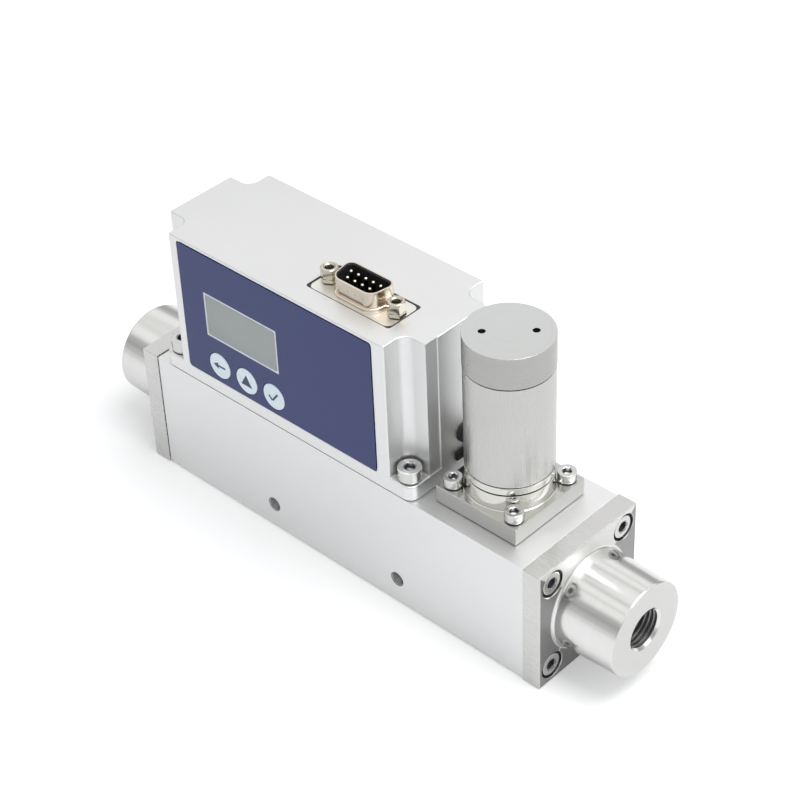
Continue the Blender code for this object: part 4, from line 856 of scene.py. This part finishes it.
def repeated(tree, value, pitch, gap):
    """A mask of cells at a pitch, with a gap between them given as a share of it."""
    within = reckon(tree, "FRACT", product(tree, value, 1 / pitch))
    return reckon(tree, "GREATER_THAN", within, gap)


window = front_plate("display_window", WINDOW, -0.0190, (0.0281, 0.0024, 0.0137), 0.0005)
hazy_acrylic = mottled(plain("hazy_acrylic", (0.66, 0.70, 0.69), 0.06), 90.0, gloss=(0.01, 0.03))
surfaced(hazy_acrylic, {"Transmission Weight": 0.5, "IOR": 1.30})
dressed(window, hazy_acrylic, "display_window", "display_window")

glass = slab("display_glass", (-0.0474, -0.01777, 0.06045), (-0.0174, -0.01753, 0.07605))
softened(glass, 0.00006, 2)
crystal = plain("liquid_crystal_glass", (0.46, 0.49, 0.47), 0.20)
tree, split = coordinates(crystal)
# The glass is painted darker towards its left and top edges, as painted shade cast by the frame
# that it sits back behind; the noise and the faint grid of cells are its own tone.
frame_shade_left = rising(tree, reckon(tree, "SUBTRACT", split["X"], -0.0470), 60.0)
frame_shade_top = rising(tree, reckon(tree, "SUBTRACT", 0.0757, split["Z"]), 420.0)
cells = product(
    tree, repeated(tree, split["X"], 0.00158, 0.14),
    repeated(tree, reckon(tree, "SUBTRACT", split["Z"], 0.0621), 0.0040, 0.12),
)
tone = product(
    tree, spread(tree, frame_shade_left, 0.80, 1.0), spread(tree, frame_shade_top, 0.84, 1.0),
    spread(tree, noise(tree, 210.0), 0.96, 1.03), spread(tree, cells, 1.0, 0.965),
)
surfaced(crystal, {"Base Color": shaded(tree, (0.82, 0.86, 0.84), tone)})
dressed(glass, crystal, "display_module")

module = slab("display_module", (-0.0494, -0.0175, 0.05825), (-0.0154, -0.0113, 0.07825))
carved(module, front_plate("view", WINDOW, -0.0175, (0.0272, 0.0018, 0.0138), 0.0004, 3))
softened(module, 0.0003, 2)
moulded_black = plain("moulded_black", (0.020, 0.020, 0.022), 0.45)
mottled(moulded_black, 4200.0, gloss=(0.38, 0.52), depth=0.000006)
dressed(module, moulded_black, "display_module", "display_module")


# Keys: three moulded caps that stand just proud of the film, each on its own body, with a
# plain sign printed on it: a back arrow, an up triangle and a tick.
KEY_FACE = -0.02033
PRINT = 0.00010
STROKE = 0.00062
key_face = plain("key_face", (0.60, 0.72, 0.84), 0.42)
mottled(key_face, 260.0, tones=((0.79, 0.90, 0.98), (0.82, 0.92, 0.99)))
mottled(key_face, 3800.0, gloss=(0.36, 0.48), depth=0.000004)
key_ink = plain("key_ink", (0.030, 0.045, 0.120), 0.40)
mottled(key_ink, 3800.0, tones=((0.026, 0.040, 0.105), (0.036, 0.052, 0.135)))
key_cap = [(0.0042, 0.0), (0.00425, 0.00006), (0.00425, 0.0027), (0.00525, 0.0027),
           (0.00525, 0.0035), (0.0020, 0.0035), (0.0020, 0.0055)]


def stroke(x, z, length, turn):
    """One printed bar of a sign, turned in the plane of the key."""
    leave_alone()
    bpy.ops.mesh.primitive_cube_add(
        size=1.0, location=(x, KEY_FACE + PRINT / 10, z), rotation=(0.0, turn, 0.0),
        scale=(length, PRINT, STROKE),
    )
    return settled("stroke")


def wedge(x, z, radius, turn):
    """A printed triangle, its point turned in the plane of the key."""
    leave_alone()
    bpy.ops.mesh.primitive_cylinder_add(
        vertices=3, radius=radius, depth=PRINT, location=(x, KEY_FACE + PRINT / 10, z),
        rotation=(math.pi / 2, turn, 0.0),
    )
    return settled("wedge")


for name, x in KEYS:
    key = turned(name, key_cap, (x, -0.0202, KEYS_Z), BACK)
    chosen(key, "polygons", lambda face: face.center.y < -0.02019)
    for inset, lift in ((0.0009, 0.00006), (0.0011, 0.00004), (0.0010, 0.00002)):
        bpy.ops.mesh.inset(thickness=inset)
        bpy.ops.transform.translate(value=(0.0, -lift, 0.0))
    bpy.ops.object.mode_set(mode="OBJECT")
    dressed(key, key_face, "key_face", name, body=name)
    if name == "key_back":
        point = wedge(x - 0.0012, KEYS_Z, 0.0013, -math.pi / 2)
        sign = carved(point, stroke(x + 0.0008, KEYS_Z, 0.0030, 0.0), how="UNION")
    elif name == "key_up":
        sign = wedge(x, KEYS_Z - 0.0003, 0.0025, 0.0)
    else:
        long_stroke = stroke(x + 0.00062, KEYS_Z + 0.00015, 0.0036, -0.92)
        short_stroke = stroke(x - 0.00125, KEYS_Z - 0.00070, 0.0019, 0.78)
        sign = carved(long_stroke, short_stroke, how="UNION")
    sign.name = name + "_sign"
    dressed(sign, key_ink, "key_face", body=name)


# Connector: a nine-way plug in a drawn, nickel-plated steel shell, which the hexagonal jack
# posts hold down on the floor of a pocket in the roof. Its liner is black, its pins gilt.
def d_plate(name, grow, low, high):
    """A plate with the connector's outline: wide side at the back, its ends sloped."""
    half = 0.00895 + grow
    deep = 0.0046 + grow
    body = slab(name, (PLUG_X - half, PLUG_Y - deep, low), (PLUG_X + half, PLUG_Y + deep, high))
    narrow = (half - 2 * deep * math.tan(math.radians(10.0))) / half
    chosen(body, "vertices", lambda corner: corner.co.y < PLUG_Y)
    bpy.ops.transform.resize(value=(narrow, 1.0, 1.0), center_override=(PLUG_X, PLUG_Y, low))
    bpy.ops.object.mode_set(mode="OBJECT")
    return cornered(body, UP, 0.0029 + grow)


nickel = plain("nickel_plate", (0.80, 0.75, 0.66), 0.16, 1.0)
mottled(nickel, 330.0, 3.0, 0.55, tones=((0.84, 0.78, 0.69), (0.70, 0.60, 0.50)), depth=0.000030)
mottled(nickel, 2600.0, 2.0, 0.6, gloss=(0.12, 0.26))
# The shell's flange is a paler, rougher nickel than its wall: partly a duller finish, partly
# painted light for the white it reflects.
pale_lit_nickel = metal("pale_lit_nickel", (0.90, 0.885, 0.84), 0.36, blasted, Pit_depth=0.000004)

shell = plug_plate("connector_shell", 0.0897, (0.0304, 0.0124, 0.0008), 0.0022, 8)
softened(shell, 0.00012, 2, 60.0)
carved(shell, softened(d_plate("skirt", 0.00075, 0.0898, 0.0912), 0.00040, 4, 60.0), how="UNION")
carved(shell, softened(d_plate("wall", 0.0, 0.0899, 0.0961), 0.00014, 2, 60.0), how="UNION")
carved(shell, d_plate("inside", -0.0005, 0.0885, 0.0970))
for x in (-0.0003, 0.0025, 0.0053, 0.0081):
    leave_alone()
    bpy.ops.mesh.primitive_uv_sphere_add(
        segments=24, ring_count=12, radius=1.0, location=(x, -0.01243, 0.0934),
        scale=(0.0013, 0.0014, 0.0015),
    )
    carved(shell, settled("dimple"))
for x in POSTS_X:
    drilled(shell, "post_hole", 0.0015, 0.0, 0.003, (x, PLUG_Y, 0.0880), UP, 24)
dressed(shell, nickel, "nickel_plate", "connector_shell")
# The flange takes the paler nickel, partly painted light.
also(shell, pale_lit_nickel, lambda c, n: c.z < 0.09015)

gasket = plug_plate("flange_gasket", 0.08975, (0.0313, 0.0130, 0.0010), 0.00095)
carved(gasket, plug_plate("flange_room", 0.0897, (0.03044, 0.01244, 0.003), 0.0022, 8))
dressed(gasket, moulded_black, "black_rubber")

insulator = plug_plate("connector_insulator", 0.08615, (0.0190, 0.0100, 0.0057), 0.0010)
liner = d_plate("liner", -0.00056, 0.0888, 0.09585)
carved(insulator, carved(liner, d_plate("well", -0.00086, 0.0904, 0.0970)), how="UNION")
softened(insulator, 0.00008, 1, 60.0)
dressed(insulator, moulded_black, "insulator_black", "connector_insulator")

gilt = plain("gilt", (0.98, 0.90, 0.66), 0.22, 1.0)
tree, split = coordinates(gilt)
wear = noise(tree, 2400.0)
gold = mixed(tree, wear, (0.98, 0.91, 0.68), (0.94, 0.84, 0.55))
# Below their tips the pins are painted almost black: painted shade down in the liner's well. The
# wear noise is the gold's own tone.
pin_well_shade = spread(tree, reckon(tree, "GREATER_THAN", split["Z"], 0.0949), 0.07, 1.0)
gilt_gloss = spread(tree, wear, 0.16, 0.30)
surfaced(gilt, {"Base Color": shaded(tree, gold, pin_well_shade), "Roughness": gilt_gloss})
PIN_PITCH = 0.00277
ROW_OFFSET = 0.00142
pin = [(0.0003, 0.0799), (0.0005, 0.0802), (0.0005, 0.0952), (0.00046, 0.0954),
       (0.00034, 0.0956), (0.00014, 0.0957)]
for row, side, count in (("back", 1, 5), ("front", -1, 4)):
    for i in range(count):
        x = PLUG_X + (i - (count - 1) / 2) * PIN_PITCH
        place = (x, PLUG_Y + side * ROW_OFFSET, 0.0)
        contact = turned(f"contact_{row}_{i + 1}", pin, place, UP, 20)
        dressed(contact, gilt, "nickel_plate")

post_nickel = metal("post_nickel", (0.66, 0.62, 0.53), 0.15, blasted, Pit_depth=0.000005)
# A dark copy of the post's nickel for the threaded bore: painted shade down the hole.
post_bore_shade = metal("post_bore_shade", (0.16, 0.14, 0.11), 0.30, blasted, Pit_depth=0.000004)
post_corner = 0.002375 / math.cos(math.pi / 6)
crown = [(0.0035, 0.0903), (0.0035, 0.0940), (0.00268, 0.0940), (0.00245, 0.09445),
         (0.00205, 0.09475)]
post_groove = [(0.0036, 0.0915), (0.0036, 0.0918), (0.00228, 0.0918), (0.00228, 0.0915)]
post_thread = [(0.00195, 0.0950), (0.00172, 0.0946), (0.0013, 0.0943),
               *vees(0.0013, 0.00145, 0.0943, 0.0916, 0.0006)]
for i, x in enumerate(POSTS_X):
    middle = (x, PLUG_Y, 0.0)
    bar = [(post_corner, 0.0904), (post_corner, 0.0947)]
    post = turned(f"jack_post_{i + 1}", bar, middle, UP, 6)
    carved(post, turned("crown", crown, middle, UP, 48), how="INTERSECT")
    bored(post, "groove", post_groove, middle, UP, 48, True)
    shank = turned("shank", [(0.0012, 0.0869), (0.0012, 0.0906)], middle, UP, 24)
    carved(post, shank, how="UNION")
    bored(post, "bore", post_thread, middle, UP, 36)
    dressed(post, post_nickel, "nickel_plate", f"jack_post_{i + 1}")
    # Painted shade inside the threaded bore of each post.
    also(post, post_bore_shade,
         lambda c, n: math.hypot(c.x - x, c.y - PLUG_Y) < 0.0016 and 0.0912 < c.z < 0.0944)


# Valve plate: a milled square of stainless steel with a turned collar and a small fillet,
# held on the block by four M3 socket screws.
M3 = (0.0015, 0.00275, 0.0028, 0.0025, 0.0005)
PLATE_TOP = 0.0460
VALVE_AXIS = (VALVE_X, 0.0, 0.0)
# The plate's milled sides are a darker copy of its steel than the lapped top: partly a real
# difference of finish, partly painted shade on the sides.
milled_darkened_steel = laid(
    metal("milled_darkened_steel", (0.50, 0.50, 0.485), 0.34, tool_marks, Streaks=0.12),
    (150.0, 150.0, 8000.0),
)
lapped_steel = laid(
    metal("lapped_steel", (0.66, 0.655, 0.63), 0.16, tool_marks, Streaks=0.08),
    (6000.0, 140.0, 6000.0),
)
turned_steel = turned_metal(
    "turned_steel", (0.74, 0.735, 0.69), 0.13, 4200.0, VALVE_AXIS, Streaks=0.08,
)
valve_plate = slab("valve_plate", (0.0360, -0.0144, COVER_BASE), (0.0648, 0.0144, PLATE_TOP))
softened(valve_plate, 0.0002, 2)
collar = [(0.0129, 0.0455), (0.0129, PLATE_TOP), *fillet(0.0125, PLATE_TOP, 0.0004, 4),
          (0.0125, 0.0509), (0.0124, 0.05112), (0.0122, 0.0512)]
carved(valve_plate, turned("collar", collar, VALVE_AXIS, UP, 112), how="UNION")
collar_bore = [(0.0083, 0.0404), (0.0083, 0.0425), (0.0053, 0.0425), (0.0053, 0.0516)]
bored(valve_plate, "bore", collar_bore, VALVE_AXIS, UP, 48)
for x, y in VALVE_SCREWS:
    screw_hole = [(0.0018, 0.0404), (0.0018, 0.0459), (0.0020, 0.0461)]
    bored(valve_plate, "hole", screw_hole, (x, y, 0.0), UP, 32)
# Sides in the darker steel, partly painted shade; the top is lapped and the collar turned.
dressed(valve_plate, milled_darkened_steel, "milled_aluminium", "valve_plate")
also(valve_plate, lapped_steel, lambda c, n: n.z > 0.7 and c.z > 0.0458)
also(valve_plate, turned_steel, lambda c, n: c.z > 0.04602)

screwed_in(M3, 0.0138, [
    (f"valve_screw_{i + 1}", UP,
     (VALVE_SCREWS_X[a], VALVE_SCREWS_Y[b], PLATE_TOP + HEAD_GAP), 0.5 + 0.8 * i)
    for i, (a, b) in enumerate(ROUND)
])


# Coil housing: a slotted ring, a satin can and a faced cap with two spanner holes, stacked
# on the collar and drawn together by the nut thread inside the cap.
SPANNER_CIRCLE = 0.0071
satin_steel = laid(
    metal("satin_steel", (0.61, 0.61, 0.595), 0.28, tool_marks,
          Streaks=0.04, Clouding=0.12, Mark_depth=0.0000006),
    (2600.0, 2600.0, 90.0), VALVE_AXIS,
)
cap_steel = turned_metal(
    "brushed_cap", (0.47, 0.47, 0.455), 0.28, 3200.0, VALVE_AXIS, Streaks=0.10,
)
faced_steel = turned_metal(
    "faced_steel", (0.68, 0.69, 0.685), 0.24, 3200.0, VALVE_AXIS, Streaks=0.05,
)
ring = [(0.0053, 0.0515), (0.0123, 0.0515), (0.0125, 0.0517), (0.0125, 0.0535),
        (0.0123, 0.0537), (0.0053, 0.0537)]
valve_ring = turned("valve_ring", ring, VALVE_AXIS, UP, 112, True)
carved(valve_ring, slab("lead_slot", (0.0370, 0.0013, 0.0518), (0.0454, 0.0033, 0.0545)))
dressed(valve_ring, turned_steel, "turned_steel", "valve_ring")

can = [(0.0053, 0.0540), (0.0120, 0.0540), (0.0124, 0.05412), (0.0125, 0.05435),
       (0.0125, 0.0866), (0.01242, 0.0868), (0.0113, 0.0868), (0.0113, 0.0555),
       (0.0053, 0.0555)]
coil_can = turned("coil_can", can, VALVE_AXIS, UP, 128, True)
dressed(coil_can, satin_steel, "turned_steel", "coil_can")

cap = [(0.0053, 0.0851), (0.0110, 0.0851), (0.0110, 0.0871), (0.01245, 0.0871),
       (0.0126, 0.08725), (0.0126, 0.0969), (0.01255, 0.09704), (0.01242, 0.0971)]
coil_cap = turned("coil_cap", cap, VALVE_AXIS, UP, 128)
recess = [(0.0053, 0.0840), (0.0053, 0.0868), (0.0028, 0.0868), (0.0028, 0.0918)]
bored(coil_cap, "recess", recess, VALVE_AXIS, UP, 48)
spanner_hole = [(0.00115, 0.0972), (0.0010, 0.0970), (0.0010, 0.0932), (TIP, 0.0927)]
for turn in (math.radians(42.0), math.radians(222.0)):
    x = VALVE_X + SPANNER_CIRCLE * math.cos(turn)
    y = SPANNER_CIRCLE * math.sin(turn)
    bored(coil_cap, "spanner_hole", spanner_hole, (x, y, 0.0), UP, 32)
dressed(coil_cap, cap_steel, "turned_steel", "coil_cap")
also(coil_cap, faced_steel, lambda c, n: c.z > 0.09705)
# The spanner holes take the dark steel: painted shade inside them.
also(coil_cap, socket_shade_steel,
     lambda c, n: 0.0925 < c.z < 0.0969 and math.hypot(c.x - VALVE_X, c.y) < 0.0085)


# Valve lead: a grey sheathed lead through a rubber grommet in the end wall into the slot of
# the ring, with a moulded blanking plug in the slot below it.
grommet = [(0.0010, 0.0290), (0.0022, 0.0290), (0.0022, 0.0319), (0.0032, 0.0319),
           (0.0032, 0.0327), (0.0030, 0.0329), (0.0027, 0.0330), (0.0021, 0.03295),
           (0.0018, 0.0327), (0.0010, 0.0321)]
lead_grommet = turned("lead_grommet", grommet, (0.0, GROMMET_Y, GROMMET_Z), RIGHT, 48, True)
black_rubber = plain("black_rubber", (0.018, 0.018, 0.019), 0.62)
mottled(black_rubber, 900.0, 3.0, 0.6, tones=((0.014, 0.014, 0.015), (0.034, 0.034, 0.035)),
        gloss=(0.52, 0.70), depth=0.000012)
dressed(lead_grommet, black_rubber, "black_rubber", "lead_grommet")
plug = slab("wall_plug", (0.0319, -0.0018, 0.04475), (0.0328, 0.0064, 0.04765))
plug_neck = slab("plug_neck", (0.0295, -0.0009, 0.0452), (0.0322, 0.0055, 0.0472))
carved(plug, plug_neck, how="UNION")
softened(plug, 0.00025)
dressed(plug, black_rubber, "black_rubber", "wall_plug")


# Inner pieces, as packed: what the housing, the block and the coil can hold. Each kind gets
# its own finish, for the views that open the object up.
def refinished(finish, *names):
    """Give CAD pieces a finish in place of their plain one."""
    for name in names:
        for material_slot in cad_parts[name].material_slots:
            material_slot.material = finish


copper = plain("copper_winding", (0.72, 0.32, 0.15), 0.32, 1.0)
tree, split = coordinates(copper)
# The winding is painted dark in the troughs between its turns: painted shade in the creases, with
# a bump for the wire's rounding.
wave = reckon(tree, "SINE", product(tree, split["Z"], math.tau / 0.00035))
turns_and_crease_shade = spread(tree, reckon(tree, "ADD", wave, 1.0), 0.0, 0.5)
surfaced(copper, {
    "Base Color": mixed(tree, turns_and_crease_shade, (0.40, 0.13, 0.05), (0.80, 0.38, 0.18)),
    "Normal": bumped(tree, turns_and_crease_shade, 0.00012),
})
refinished(copper, "coil_winding", "sensor_winding_1", "sensor_winding_2")

bobbin = plain("bobbin_plastic", (0.62, 0.58, 0.47), 0.48)
mottled(bobbin, 2600.0, tones=((0.58, 0.54, 0.43), (0.66, 0.62, 0.51)))
refinished(bobbin, "coil_bobbin")

circuit_board = plain("circuit_board", (0.015, 0.120, 0.050), 0.38)
tree, split = coordinates(circuit_board)
patches = reckon(tree, "GREATER_THAN", noise(tree, 190.0, 1.0, 0.4), 0.52)
tracks = product(tree, repeated(tree, split["Z"], 0.0011, 0.62), patches)
weave = mixed(tree, noise(tree, 1500.0), (0.010, 0.105, 0.042), (0.018, 0.135, 0.058))
surfaced(circuit_board, {
    "Base Color": mixed(tree, tracks, weave, (0.030, 0.210, 0.095)),
    "Normal": bumped(tree, tracks, 0.000035),
})
refinished(circuit_board, "main_board", "display_board")
refinished(moulded_black, "key_switch_1", "key_switch_2", "key_switch_3", "board_header")

seal_rubber = plain("seal_rubber", (0.022, 0.016, 0.015), 0.50)
mottled(seal_rubber, 1300.0, 3.0, 0.6, tones=((0.018, 0.013, 0.012), (0.040, 0.030, 0.028)),
        gloss=(0.42, 0.58))
refinished(seal_rubber, "inlet_seal", "outlet_seal")

bore_steel = turned_metal("bore_steel", (0.66, 0.65, 0.62), 0.24, 4200.0, BORE_LINE, ABOUT_X)
refinished(bore_steel, "flow_element")
refinished(turned_steel, "guide_tube", "valve_seat")
refinished(milled_darkened_steel, "sensor_base")
drawn_steel = metal("drawn_steel", (0.64, 0.64, 0.62), 0.30, blasted, Pit_depth=0.000004)
refinished(drawn_steel, "sensor_can", "sensor_tube")
magnetic_steel = turned_metal("magnetic_steel", (0.56, 0.555, 0.54), 0.30, 3600.0, VALVE_AXIS)
refinished(magnetic_steel, "core_stop", "plunger")
spring_steel = metal("spring_steel", (0.60, 0.59, 0.56), 0.26, blasted, Pit_depth=0.000003)
refinished(spring_steel, "plunger_spring")

lead_sheath = plain("lead_sheath", (0.52, 0.52, 0.51), 0.46)
mottled(lead_sheath, 1900.0, tones=((0.47, 0.47, 0.46), (0.57, 0.57, 0.56)), gloss=(0.40, 0.54))
refinished(lead_sheath, "valve_lead")
